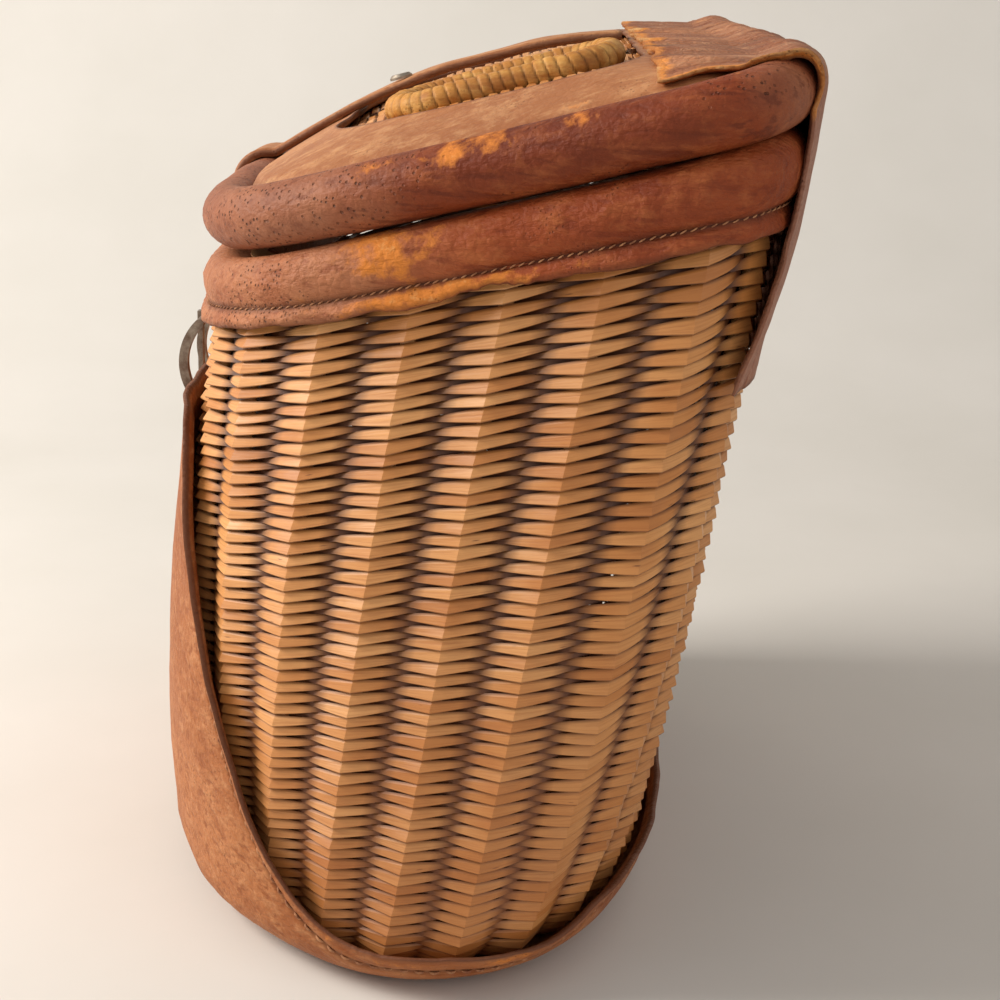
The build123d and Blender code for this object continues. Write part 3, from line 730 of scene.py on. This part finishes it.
def addBinding():
    count = binding["columns"]
    u = np.arange(count) / count
    top, hem, seam = binding["top"], binding["hem"], binding["seam"]
    # how far out of the wall and how high each row is, up the outside and then over the rim and down inside
    outside = [(2.4, hem + 1.2), (2.7, hem + 0.1), (3.6, hem - 0.3), (4.5, hem + 0.5), (4.6, hem + 1.8),
               (4.1, hem + 3.4), (3.3, seam - 0.5), (3.0, seam), (3.4, seam + 0.6), (4.3, seam + 1.8),
               (5.1, seam + 4), (5.3, seam + 6.5), (5.0, seam + 9), (4.0, top - 2.4), (2.4, top - 1.0),
               (0.4, top - 0.1)]
    over = [(-2.5, top + 0.2), (-6, top + 0.25), (-9.5, top), (-12.0, top - 1.0), (-13.9, top - 3.2),
            (-14.7, top - 6.5), (-14.7, top - 11), (-14.5, hem + 2), (-14.0, hem + 0.2), (-13.0, hem + 0.3),
            (-12.7, hem + 3), (-12.7, top - 6), (-11.5, top - 2.6), (-6, top - 1.8), (-1, top - 1.9),
            (1.6, top - 3.4), (2.6, top - 7), (2.6, seam)]
    profile = np.array(outside + over)
    n = len(profile)
    out = np.repeat(profile[:, :1], count, 1)
    v = levelOf(np.repeat(profile[:, 1:], count, 1))
    uu = np.broadcast_to(u, out.shape)
    place = wallPoint(uu, v, out)
    facing = np.zeros(n)
    facing[1:len(outside)] = 1
    facing[len(outside):len(outside) + 9] = 0.6
    along = onLine(u * binding["girth"])
    run = uu * binding["girth"]
    bulge = rough(along, 34, 11)[None, :] * 0.8 + rough(place, 11, 12) * 0.45
    pucker = rough(np.stack([run, v * 0.22, 0 * v], 2), 4.2, 13) * 0.30
    folds = rough(np.stack([run * 0.12, v, 0 * v], 2), 2.6, 35) * 0.45
    out = out + facing[:, None] * (bulge + pucker + folds)
    hemWave = rough(along, 15, 14)[None, :] * 1.5 + rough(along, 5, 15)[None, :] * 0.6
    tornHem = np.exp(-((place[0, :, 1] - creel["rimMiddle"] - 2) / 16) ** 2) * (place[0, :, 0] > 0)
    hemWave = hemWave + tornHem * (rough(along, 2.6, 36) * 1.3 + 0.9)[None, :]
    low = np.zeros(n)
    low[:6] = (1, 1, 1, 1, 0.8, 0.4)
    v = v + low[:, None] * hemWave
    out = out + low[:, None] * np.clip(rough(along, 9, 16), -0.3, 1)[None, :] * 0.9
    seamWave = rough(along, 40, 17)[None, :] * 0.8
    nearSeam = np.zeros(n)
    nearSeam[5:11] = (0.5, 1, 1, 1, 0.7, 0.3)
    v = v + nearSeam[:, None] * seamWave
    verts = wallPoint(uu, v, out)
    faces = gridFaces(n, count, wrapRows=True, wrapColumns=True)
    edge = np.zeros((n, count))
    edge[0:3] = 0.8
    edge[3] = 0.3
    # painted shade in the sunken fold along the seam
    hollow = np.zeros((n, count))
    hollow[6:9] = np.array((0.5, 1.0, 0.5))[:, None]
    back = verts[..., 1] - creel["rimMiddle"]
    wear = np.clip(rough(along, 45, 18) * 0.8 + 0.1, 0, 1)[None, :] * np.ones((n, 1))
    wear[11:17] += 0.2
    wear[3:6] += 0.25
    wear = wear * np.clip((back + 62) / 30, 0.15, 1)
    torn = np.exp(-((back - 2) / 16) ** 2) * (place[..., 0] > 0)
    bare = np.exp(-((back + 18) / 8) ** 2) * 0.75 + torn * (np.arange(n) < 7)[:, None] * 0.7
    wear = np.clip(wear + bare * np.clip(0.7 + rough(verts, 5, 20), 0, 1), 0, 0.72)
    pale = np.clip((-2 - back) / 34, 0, 1) * (0.65 + rough(verts, 16, 19) * 0.35)
    pored = np.clip((-20 - back) / 20, 0, 1) * 0.6
    obj = addSkin("bindingLeather", verts, faces, "rimLeather", edge=edge, hollow=hollow, wear=wear,
                  pale=np.clip(pale, 0, 1), pored=pored)
    put(obj, "basket", "harness_leather", "rim_binding")
    seamRow = 7
    seamLevel = levelOf(seam) + seamWave[0]
    seamLevel, seamBulge = np.append(seamLevel, seamLevel[0]), np.append(bulge[seamRow], bulge[seamRow][0])
    points = wallPoint(np.append(u, 1.0), seamLevel, 3.3 + seamBulge)
    normals = tableAt(wallOut, np.append(u, 1.0), seamLevel)
    stitches("bindingStitches", points, normals, binding["stitch"], 1.9, 0.42, "basket", slant=0.35)


addBinding()
print("the rim is bound")


# Lid, in the tilted plane of the roll's middle

lid = dict(
    height=226.545, halfLength=166.3, halfDepth=75.11, crown=14.0, level=14.0, rollRadius=7.9, panelEdge=8.5,
    border=24.0, borderBottom=2.8, leather=2.0, overhang=14, panelInset=9.5, rollColumns=900, rollSeam=152.0,
)
lean = radians(creel["rimSlope"])
lidOrigin = np.array((0, creel["rimMiddle"], lid["height"]))
lidAlong, lidUp = np.array((0, cos(lean), sin(lean))), np.array((0, -sin(lean), cos(lean)))


def lidTable():
    # outlines of the lid a millimetre apart, from outside the roll to well in on the panel, and the way out
    rows, powers = [], (creel["frontPower"], creel["backPower"])
    for inset in range(-lid["overhang"], 62):
        half, deep = lid["halfLength"] - inset, lid["halfDepth"] - inset
        rows.append(evenly(ovalOutline(half, deep, deep, *powers), tableColumns))
    rows = np.array(rows)
    along = np.roll(rows, -2, 1) - np.roll(rows, 2, 1)
    return rows, softened(unit(np.stack([along[..., 1], -along[..., 0]], 2)), 8)


lidRows, lidOut = lidTable()


def onLid(x, y, rise):
    # a place over the lid's plane, in the creel's frame
    x, y, rise = np.broadcast_arrays(x, y, rise)
    return (lidOrigin + x[..., None] * np.array((1.0, 0, 0)) + y[..., None] * lidAlong
            + rise[..., None] * lidUp)


def lidPoint(u, inset, rise):
    # a place of the lid: u once round from the middle of the back, inset in from the roll's middle
    u, inset, rise = np.broadcast_arrays(u, inset, rise)
    flat = tableAt(lidRows, u, inset + lid["overhang"])
    return onLid(flat[..., 0], flat[..., 1], rise)


def crownAt(inset):
    # how far the panel is domed up over the lid's plane
    inset = np.clip(inset, 0, lid["halfDepth"] - lid["level"])
    return lid["crown"] * (1 - (1 - inset / lid["halfDepth"]) ** 2)


def lidHalfLengthAt(y, inset):
    # how far the lid reaches along X at a distance y behind its middle
    deep, half = lid["halfDepth"] - inset, lid["halfLength"] - inset
    side = np.clip(np.asarray(y) / deep, -1, 1)
    power = np.where(side > 0, creel["backPower"], creel["frontPower"])
    reach = (1 - np.abs(side) ** power) ** (1 / power)
    return half * reach * (1 - creel["frontNarrowing"] * (0.5 - side / 2))


def insetAt(x, y):
    # how far in from the roll's middle a place of the lid is
    near = lid["halfDepth"] - np.abs(y)
    side = lidHalfLengthAt(y, 0) - np.abs(x)
    return np.clip(np.minimum(near, side), 0, lid["halfDepth"] - lid["level"])


def addRoll():
    count, around = lid["rollColumns"], 28
    u = np.arange(count + 1) / count
    flat, out = tableAt(lidRows, u, lid["overhang"]), tableAt(lidOut, u, lid["overhang"])
    turn = 2 * pi * np.arange(around) / around

    def tube(radius):
        return onLid(flat[None, :-1, 0] + out[None, :-1, 0] * radius * np.cos(turn)[:, None],
                     flat[None, :-1, 1] + out[None, :-1, 1] * radius * np.cos(turn)[:, None],
                     radius * np.sin(turn)[:, None])

    along = onLine(u[:-1] * 900)
    radius = lid["rollRadius"] * (1 + rough(along, 60, 21)[None, :] * 0.05) * np.ones((around, 1))
    base = tube(radius)
    radius = radius + rough(base, 24, 22) * 0.30 + rough(base, 8, 23) * 0.07
    # the leather's edge is turned under and sewn along the inner side
    seamAngle = radians(lid["rollSeam"])
    seam = np.exp(-((turn - seamAngle) / 0.10) ** 2)[:, None]
    radius = radius - seam * 0.9
    verts = tube(radius)
    faces = gridFaces(around, count, wrapRows=True, wrapColumns=True)
    top = np.clip(np.sin(turn - radians(2)) * 1.3, 0, 1)[:, None]
    back = flat[None, :-1, 1] + 0 * base[..., 0]
    patches = rough(along, 20, 24)[None, :] * 1.3 + rough(base, 7, 27) * 0.5 + 0.3
    patches = np.clip(patches + np.exp(-((back + 6) / 30) ** 2) * 0.75, 0, 1)
    patches = patches * np.clip((back + 34) / 8, 0, 1) * np.clip((66 - back) / 8, 0, 1)
    wear = np.clip(top * patches * 1.15, 0, 0.8) + 0.12 * np.clip(rough(base, 22, 25), 0, 1)
    pored = np.clip((-8 - back) / 24, 0, 1)
    pale = np.clip((-12 - back) / 26, 0, 1) * 0.8 + np.clip((back - 58) / 8, 0, 1) * 0.55
    pale = np.clip(pale + rough(base, 12, 26) * 0.25 * (pale > 0.05), 0, 1)
    # the seam's dent gets painted shade
    obj = addSkin("rollLeather", verts, faces, "rollLeather", edge=np.zeros((around, count)),
                  hollow=seam * np.ones((1, count)) * 0.7, wear=wear, pored=pored, pale=pale)
    put(obj, "lid", "harness_leather", "lid_roll")
    inward, upward = cos(seamAngle), sin(seamAngle)
    reach = lid["rollRadius"] - 0.6
    points = onLid(flat[:, 0] + out[:, 0] * reach * inward, flat[:, 1] + out[:, 1] * reach * inward,
                   np.full(len(u), reach * upward))
    normals = out[:, :1] * inward * np.array((1.0, 0, 0)) + out[:, 1:] * inward * lidAlong + upward * lidUp
    stitches("rollStitches", points, normals, 4.0, 2.9, 0.8, "lid")


addRoll()

lidPanel = dict(
    pitch=1.7, width=3.2, waist=1.6, thickness=0.9, reach=1.2, middle=-0.2, perStake=8, tilt=8.0, uneven=0.3,
    stakes=14, girth=330.0,
)
fishHole = dict(length=50.0, width=38.0, corner=10.0, side=70.0, back=6.0, collar=8.0, lift=1.5, wrap=2.9)


def holeDistance(x, y):
    # how far outside the fish hole's edge a place is
    f = fishHole
    dx = np.abs(x - f["side"]) - (f["width"] / 2 - f["corner"])
    dy = np.abs(y - f["back"]) - (f["length"] / 2 - f["corner"])
    return np.hypot(np.maximum(dx, 0), np.maximum(dy, 0)) + np.minimum(np.maximum(dx, dy), 0) - f["corner"]


def panelPoint(u, level, out):
    # a place of the panel: u from end to end, level from the front to the back
    u, level, out = np.broadcast_arrays(u, level, out)
    x = (2 * u - 1) * lidHalfLengthAt(level, lid["panelInset"])
    return onLid(x, level, crownAt(insetAt(x, level)) + out)


def addPanel():
    edge = lid["halfDepth"] - lid["panelInset"] - 1
    levels = np.arange(-edge, edge, lidPanel["pitch"])
    obj = weave("panelWeave", panelPoint, levels, lidPanel["stakes"], 0.0, lidPanel, closed=False)
    work = bmesh.new()
    work.from_mesh(obj.data)
    gone = []  # the strands end under the collar of the fish hole
    for face in work.faces:
        at = np.array(face.calc_center_median()) / mm - lidOrigin
        if holeDistance(at[0], at @ lidAlong) < fishHole["collar"] / 2:
            gone.append(face)
    bmesh.ops.delete(work, geom=gone, context="FACES")
    work.to_mesh(obj.data)
    work.free()
    put(obj, "lid", "willow", "lid_panel")
    paths = []
    y = np.arange(-edge, edge + 1, 4.0)
    for k in range(1, lidPanel["stakes"]):
        x = (2 * k / lidPanel["stakes"] - 1) * lidHalfLengthAt(y, lid["panelInset"])
        keep = holeDistance(x, y) > fishHole["collar"] / 2
        path = onLid(x, y, crownAt(insetAt(x, y)) + lidPanel["middle"])
        if keep.all():
            paths.append(path)
        else:
            first, last = np.nonzero(~keep)[0][[0, -1]]
            paths += [path[:first], path[last + 1:]]
    ribs = rods("lidRibs", [p for p in paths if len(p) > 2], 1.3)
    put(ribs, "lid", "willow_frame")


addPanel()


def sheetSolid(name, top, bottom, leather, wrap=True, **values):
    # a leather sheet from two grids of the same size, closed round its edges
    rows, count = top.shape[:2]
    faces = gridFaces(2 * rows, count, wrapRows=True, wrapColumns=wrap)
    if not wrap:
        for column, turned in ((0, False), (count - 1, True)):
            for r in range(rows - 1):
                quad = (r * count + column, (r + 1) * count + column,
                        (2 * rows - 2 - r) * count + column, (2 * rows - 1 - r) * count + column)
                faces.append(quad[::-1] if turned else quad)
    bothSides = {key: np.concatenate([data, data[::-1]]) for key, data in values.items()}
    return addSkin(name, np.concatenate([top, bottom[::-1]]), faces, leather, **bothSides)


def addBorder():
    count = 720
    u = np.arange(count) / count
    first, last = lid["panelEdge"] - 2.8, lid["panelEdge"] + lid["border"]
    nearInnerEdge = last - np.array((3.6, 2.4, 1.4, 0.7, 0.2, 0.0))
    uu, inset = np.meshgrid(u, np.concatenate([np.linspace(first, last - 5, 16), nearInnerEdge]))
    place = lidPoint(uu, inset, 4.0)
    wave = rough(place, 40, 31) * 0.8
    fromEdge = last - inset
    inset = inset + np.clip(1 - fromEdge / 8, 0, 1) * rough(onLine(uu * 700), 26, 32) * 1.8
    rise = crownAt(inset) + lid["borderBottom"] + lid["leather"]
    rise = rise + (wave * 0.35 + rough(place, 8, 33) * 0.12) * np.clip(fromEdge / 4, 0.3, 1)
    rise = rise + np.exp(-(fromEdge / 2.2) ** 2) * (0.25 + rough(place, 30, 34) * 0.7)
    rise[:3] -= np.array((3.2, 1.4, 0.3))[:, None]  # tucked down against the roll
    top = lidPoint(uu, inset, rise)
    thick = lid["leather"] * np.clip(0.35 + fromEdge / 1.5, 0.35, 1)
    bottom = lidPoint(uu, inset, rise - thick)
    edge = np.clip(1 - fromEdge / 0.9, 0, 1) * 0.9
    # painted shade where the border tucks down against the roll
    hollow = np.exp(-((inset - first) / 1.6) ** 2) * 0.8
    wear = np.clip(rough(place, 34, 35) + 0.15, 0, 1) * 0.7
    obj = sheetSolid("borderLeather", top, bottom, "strapLeather", edge=edge, hollow=hollow, wear=wear)
    put(obj, "lid", "harness_leather", "lid_border")


addBorder()


def addCollar():
    # golden strips wound round a core that frames the fish hole
    f = fishHole
    count, around = 640, 18
    grow = f["collar"] / 2
    acrossHalf, alongHalf, corner = f["width"] / 2 + grow, f["length"] / 2 + grow, f["corner"] + grow
    arcs = []
    for quarter, (sx, sy) in enumerate(((1, 1), (-1, 1), (-1, -1), (1, -1))):
        turn = np.linspace(0, pi / 2, 24) + quarter * pi / 2
        arcs.append(np.stack([(acrossHalf - corner) * sx + corner * np.cos(turn),
                              (alongHalf - corner) * sy + corner * np.sin(turn)], 1))
    ring = evenly(np.vstack(arcs), count)
    x, y = ring.T
    forward = unit(np.roll(ring, -1, 0) - np.roll(ring, 1, 0))
    outX, outY = forward[:, 1], -forward[:, 0]
    girth = np.linalg.norm(np.diff(np.vstack([ring, ring[:1]]), axis=0), axis=1).sum()
    at = np.arange(count) / count * girth
    turns = 2 * pi * np.arange(around) / around
    wraps = round(girth / f["wrap"])
    beat = at[None, :] / girth * wraps + turns[:, None] / (2 * pi)
    index = np.floor(beat).astype(int)
    within = beat - index
    jitter = rng.uniform(-0.25, 0.35, wraps + 3)
    rib = (1 - (2 * within - 1) ** 6) * (0.75 + jitter[index])
    radius = f["collar"] / 2 - 0.55 + rib * 0.65
    squash = 0.97
    base = lid["crown"] * (1 - (lid["level"] / lid["halfDepth"]) ** 2) + f["lift"]
    sag = rough(onLine(at), 30, 41)[None, :] * 0.3
    verts = onLid(f["side"] + x[None] + outX[None] * radius * np.cos(turns)[:, None],
                  f["back"] + y[None] + outY[None] * radius * np.cos(turns)[:, None],
                  base + sag + radius * squash * np.sin(turns)[:, None])
    faces = gridFaces(around, count, wrapRows=True, wrapColumns=True)
    # painted shade in the spaces between the wraps
    hollow = np.clip(1 - rib * 1.6, 0, 1) * 0.9
    wear = rng.random(wraps + 3)[index] * 0.5
    obj = addSkin("collarWraps", verts, faces, "collarLeather", edge=np.zeros(verts.shape[:2]),
                  hollow=hollow, wear=wear)
    put(obj, "lid", "collar_leather", "fish_hole_collar")


addCollar()
print("the lid is woven and bound")

# Hinge leather: one old sheet over the back of the lid, round the roll and down the back

hinge = dict(clear=3.6, halfLength=150.0, cover=22.0, standOff=9.2, footZ=175.67, thickness=1.9)


def hingePath():
    # the sheet's run seen from its end: over the border, round the roll and down, as Y and Z
    roll = lidOrigin + lidAlong * lid["halfDepth"]
    cy, cz = roll[1], roll[2]
    start = lid["halfDepth"] - hinge["cover"] - lid["panelEdge"]
    points = []
    for y in np.linspace(start, lid["halfDepth"] - 7, 10):
        rise = crownAt(lid["halfDepth"] - y) + lid["borderBottom"] + lid["leather"] + 1.3
        p = onLid(0.0, y, rise)
        points.append((p[1], p[2]))
    for turn in np.linspace(radians(100), 0, 12):
        points.append((cy + hinge["standOff"] * cos(turn), cz + hinge["standOff"] * sin(turn)))
    y0, z0 = points[-1]
    for t in np.linspace(0, 1, 22)[1:]:
        z = z0 + (hinge["footZ"] - z0) * t
        y = y0 + 0.4 * t - 10.5 * t ** 2.2
        points.append((y, z))
    return np.array(points)


def addHingeLeather():
    path = hingePath()
    run = lengthAlong(path)
    steps = np.linspace(0, run[-1], 72)
    path = placeAt(steps, run, path)
    along = np.gradient(path, axis=0)
    tangent, normal = unit(along), unit(np.stack([-along[:, 1], along[:, 0]], 1))
    across = np.linspace(-1, 1, 260)
    ss, xx = np.meshgrid(steps, across * hinge["halfLength"], indexing="ij")
    flat = np.stack([xx, ss, 0 * xx], 2)
    # ragged ends and edges
    ends = np.stack([ss, 0 * ss, np.sign(xx) * 9], 2)
    ragged = rough(ends, 9, 51) * 2.0 + rough(ends, 3, 52) * 0.8
    toEnd = np.clip((np.abs(across) - 0.8) / 0.2, 0, 1)[None, :]
    xx = xx + np.sign(xx) * ragged * toEnd ** 2
    fray = rough(onLine(xx), 7, 53) * 1.6 + rough(onLine(xx), 2.2, 54) * 0.6
    toTop = np.clip(1 - ss / 9, 0, 1)
    toFoot = np.clip(1 - (run[-1] - ss) / 6, 0, 1)
    slide = -fray * toTop + fray * 0.5 * toFoot
    yy = path[:, :1] + 0 * xx + tangent[:, :1] * slide
    zz = path[:, 1:] + 0 * xx + tangent[:, 1:] * slide
    # it follows the back as that turns away towards the ends
    turnAway = 74 * (1 - (1 - np.clip(np.abs(xx) / 168, 0, 0.97) ** 7) ** (1 / 7))
    share = np.clip((ss - 34) / 20, 0, 1)
    yy = yy - turnAway * np.clip(share * 0.8 + 0.25, 0, 1)
    # the hanging half is drawn in against the weave: where the back is at each height and each place across
    heights = np.linspace(hinge["footZ"] - 8, 232, 40)
    backU = np.concatenate([np.linspace(-0.3, 0, 90), np.linspace(0, 0.3, 90)[1:]])
    levels = np.linspace(levelOf(120), levelOf(226), 60)
    strip = wallPoint(backU[:, None] % 1.0, levels[None, :], hinge["clear"])
    hug = np.array([[np.interp(z, column[:, 2], column[:, axis]) for column in strip] for z in heights
                    for axis in (0, 1)]).reshape(len(heights), 2, -1)
    behind = np.array([np.interp(xx[0], x[np.argsort(x)], y[np.argsort(x)]) for x, y in hug])
    level = np.clip(np.interp(path[:, 1], heights, np.arange(len(heights))), 0, len(heights) - 1.001)
    lowRow = np.floor(level).astype(int)
    part = (level - lowRow)[:, None]
    against = behind[lowRow] * (1 - part) + behind[lowRow + 1] * part
    pull = np.clip((ss - 40) / (run[-1] - 46), 0, 1) ** 1.3
    yy = yy + np.clip(against - yy, -4.5, 3) * pull

    def lieAt(inset):
        # the height of the border or of the roll, whichever the sheet meets there
        rollTop = np.sqrt(np.clip(lid["rollRadius"] ** 2 - inset ** 2, 0, None))
        return np.maximum(lid["borderBottom"] + lid["leather"] + crownAt(inset), rollTop)

    # near its ends it sinks with the border
    lidY = (path - lidOrigin[1:]) @ lidAlong[1:]
    lidY = np.clip(lidY[:, None] + 0 * xx, 0, lid["halfDepth"] - 1)
    fromBack = lid["halfDepth"] - lidY
    fromEdge = np.clip(np.minimum(fromBack, lidHalfLengthAt(lidY, 0.0) - np.abs(xx)), 0, 74)
    drop = np.clip(lieAt(fromBack) - lieAt(fromEdge), -1.5, 6) * np.clip((33 - ss) / 14, 0, 1)
    yy = yy - drop * lidUp[1]
    zz = zz - drop * lidUp[2]
    folds = rough(np.stack([xx, ss * 0.12, 0 * xx], 2), 11, 55) * 1.25 * np.clip(1 - (ss - 30) / 30, 0.3, 1)
    lumps = rough(flat, 20, 56) * 0.6 + rough(flat, 6, 57) * 0.2
    lift = np.clip(folds + lumps, -0.6, 2.0)
    outer = np.stack([xx, yy + normal[:, :1] * lift, zz + normal[:, 1:] * lift], 2)
    toSide = (1 - np.abs(across))[None, :] * hinge["halfLength"]
    toCut = np.minimum(ss, run[-1] - ss)
    thick = hinge["thickness"] * np.clip(0.35 + np.minimum(toCut / 2.0, toSide / 6), 0.35, 1)
    inner = np.stack([xx, yy + normal[:, :1] * (lift - thick), zz + normal[:, 1:] * (lift - thick)], 2)
    rim = np.minimum(toCut, toSide)
    edge = np.clip(1 - rim / 1.2, 0, 1) * 0.5
    wear = np.clip(1 - rim / 7, 0, 1) * np.clip((62 - ss) / 12, 0.15, 0.9)
    wear = wear + np.clip(rough(flat, 24, 58) + 0.1, 0, 1) * 0.35 + np.clip(folds, 0, 1) * 0.4
    pale = np.clip((ss - 46) / 12, 0, 0.85)
    # painted shade in the valleys of the folds
    hollow = np.clip(-folds - 0.25, 0, 1) * 0.8
    obj = sheetSolid("hingeLeather", outer, inner, "oldLeather", wrap=False,
                     edge=edge, hollow=hollow, wear=wear, pale=pale)
    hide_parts("hinge_leather_lid", "hinge_leather_body")
    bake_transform(obj)


addHingeLeather()

# Closing strap

strap = dict(width=22.0, thickness=2.6, tail=34.0, back=40.1, footY=-76.9, holes=3, hole=4.0, holeStep=8.0)


def strapPath():
    # the strap's run seen from its side: over the lid from back to front, round the roll and down, as Y and Z
    roll = lidOrigin - lidAlong * lid["halfDepth"]
    clear = 0.3
    wrap = lid["rollRadius"] + clear + strap["thickness"] / 2
    points = []
    for y in np.linspace(strap["back"], -lid["halfDepth"] + lid["panelEdge"] + 20, 24):
        rise = crownAt(min(lid["halfDepth"] - abs(y), 61)) + lid["borderBottom"] + lid["leather"]
        rise = rise + clear + strap["thickness"] / 2
        points.append(tuple(onLid(0.0, y, rise)[1:]))
    for turn in np.linspace(radians(78), radians(180), 12):
        points.append((roll[1] + wrap * cos(turn), roll[2] + wrap * sin(turn)))
    y0, z0 = points[-1]
    foot = z0 - strap["tail"] - 1.0
    for t in np.linspace(0, 1, 12)[1:]:
        points.append((y0 + (strap["footY"] - y0) * t ** 1.3, z0 + (foot - z0) * t))
    return np.array(points)


def punchHoles(obj, places, steps, path, normal):
    # round holes through the strap, square to it
    shape = bmesh.new()
    for at in places:
        middle, out = placeAt(at, steps, path), placeAt(at, steps, normal)
        aim = Vector((0, out[0], out[1])).to_track_quat("Z", "Y").to_matrix().to_4x4()
        where = Matrix.Translation(Vector((0, middle[0], middle[1])) * mm) @ aim
        radius = strap["hole"] / 2 * mm
        bmesh.ops.create_cone(shape, cap_ends=True, segments=24, radius1=radius, radius2=radius,
                              depth=0.02, matrix=where)
    punch = bpy.data.meshes.new("punch")
    shape.to_mesh(punch)
    shape.free()
    cutter = bpy.data.objects.new("punch", punch)
    bpy.context.scene.collection.objects.link(cutter)
    cut = obj.modifiers.new("holes", "BOOLEAN")
    cut.operation = "DIFFERENCE"
    cut.solver = "EXACT"
    cut.object = cutter
    punched = bpy.data.meshes.new_from_object(obj.evaluated_get(bpy.context.evaluated_depsgraph_get()))
    obj.modifiers.clear()
    obj.data = punched
    bpy.data.objects.remove(cutter)


def addStrap():
    path = strapPath()
    run = lengthAlong(path)
    steps = np.linspace(0, run[-1], 110)
    path = placeAt(steps, run, path)
    tangent = unit(np.gradient(path, axis=0))
    normal = np.stack([tangent[:, 1], -tangent[:, 0]], 1)
    across = np.linspace(-1, 1, 25)
    half = strap["width"] / 2
    toTip = np.clip((steps - (run[-1] - half)) / half, 0, 1)
    half = half * np.sqrt(np.clip(1 - toTip ** 2.4, 0.004, 1))
    xx = across[None, :] * half[:, None]
    ss = steps[:, None] + 0 * xx
    flat = np.stack([xx, ss, 0 * xx], 2)
    lift = rough(flat, 24, 61) * 0.35 + rough(flat, 6, 62) * 0.1
    fromSide = half[:, None] - np.abs(xx)
    groove = np.exp(-((fromSide - 2.4) / 0.5) ** 2)
    rounding = np.clip(1 - fromSide / 1.0, 0, 1) ** 2 * 0.8
    up = strap["thickness"] / 2 + lift - groove * 0.3 - rounding
    down = -strap["thickness"] / 2 + lift * 0.5 + rounding
    top = np.stack([xx, path[:, :1] + normal[:, :1] * up, path[:, 1:] + normal[:, 1:] * up], 2)
    bottom = np.stack([xx, path[:, :1] + normal[:, :1] * down, path[:, 1:] + normal[:, 1:] * down], 2)
    edge = np.clip(1 - fromSide / 0.8, 0, 1) * 0.8
    wear = np.clip(rough(flat, 15, 63) + 0.2, 0, 1) * 0.6
    # painted shade in the creased line along each side
    obj = sheetSolid("strapLeather", top, bottom, "strapLeather", wrap=False,
                     edge=edge, hollow=groove * 0.6, wear=wear)
    punchHoles(obj, [run[-1] - strap["width"] / 2 - strap["holeStep"] * n for n in range(strap["holes"])],
               steps, path, normal)
    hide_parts("closing_strap", "strap_tail")
    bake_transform(obj)


addStrap()
print("hinge leather and strap are on")

# Pieces that keep their CAD shape
finishes = dict(wicker_base=willowStrands, rim_hoop=willowRods, lid_hoop=willowRods, buckle_frame=agedSteel,
                buckle_prong=agedSteel, strap_rivet=agedSteel, buckle_chape=leathers["strapLeather"])
for name, finish in finishes.items():
    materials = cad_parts[name].data.materials
    materials.clear()
    materials.append(finish)
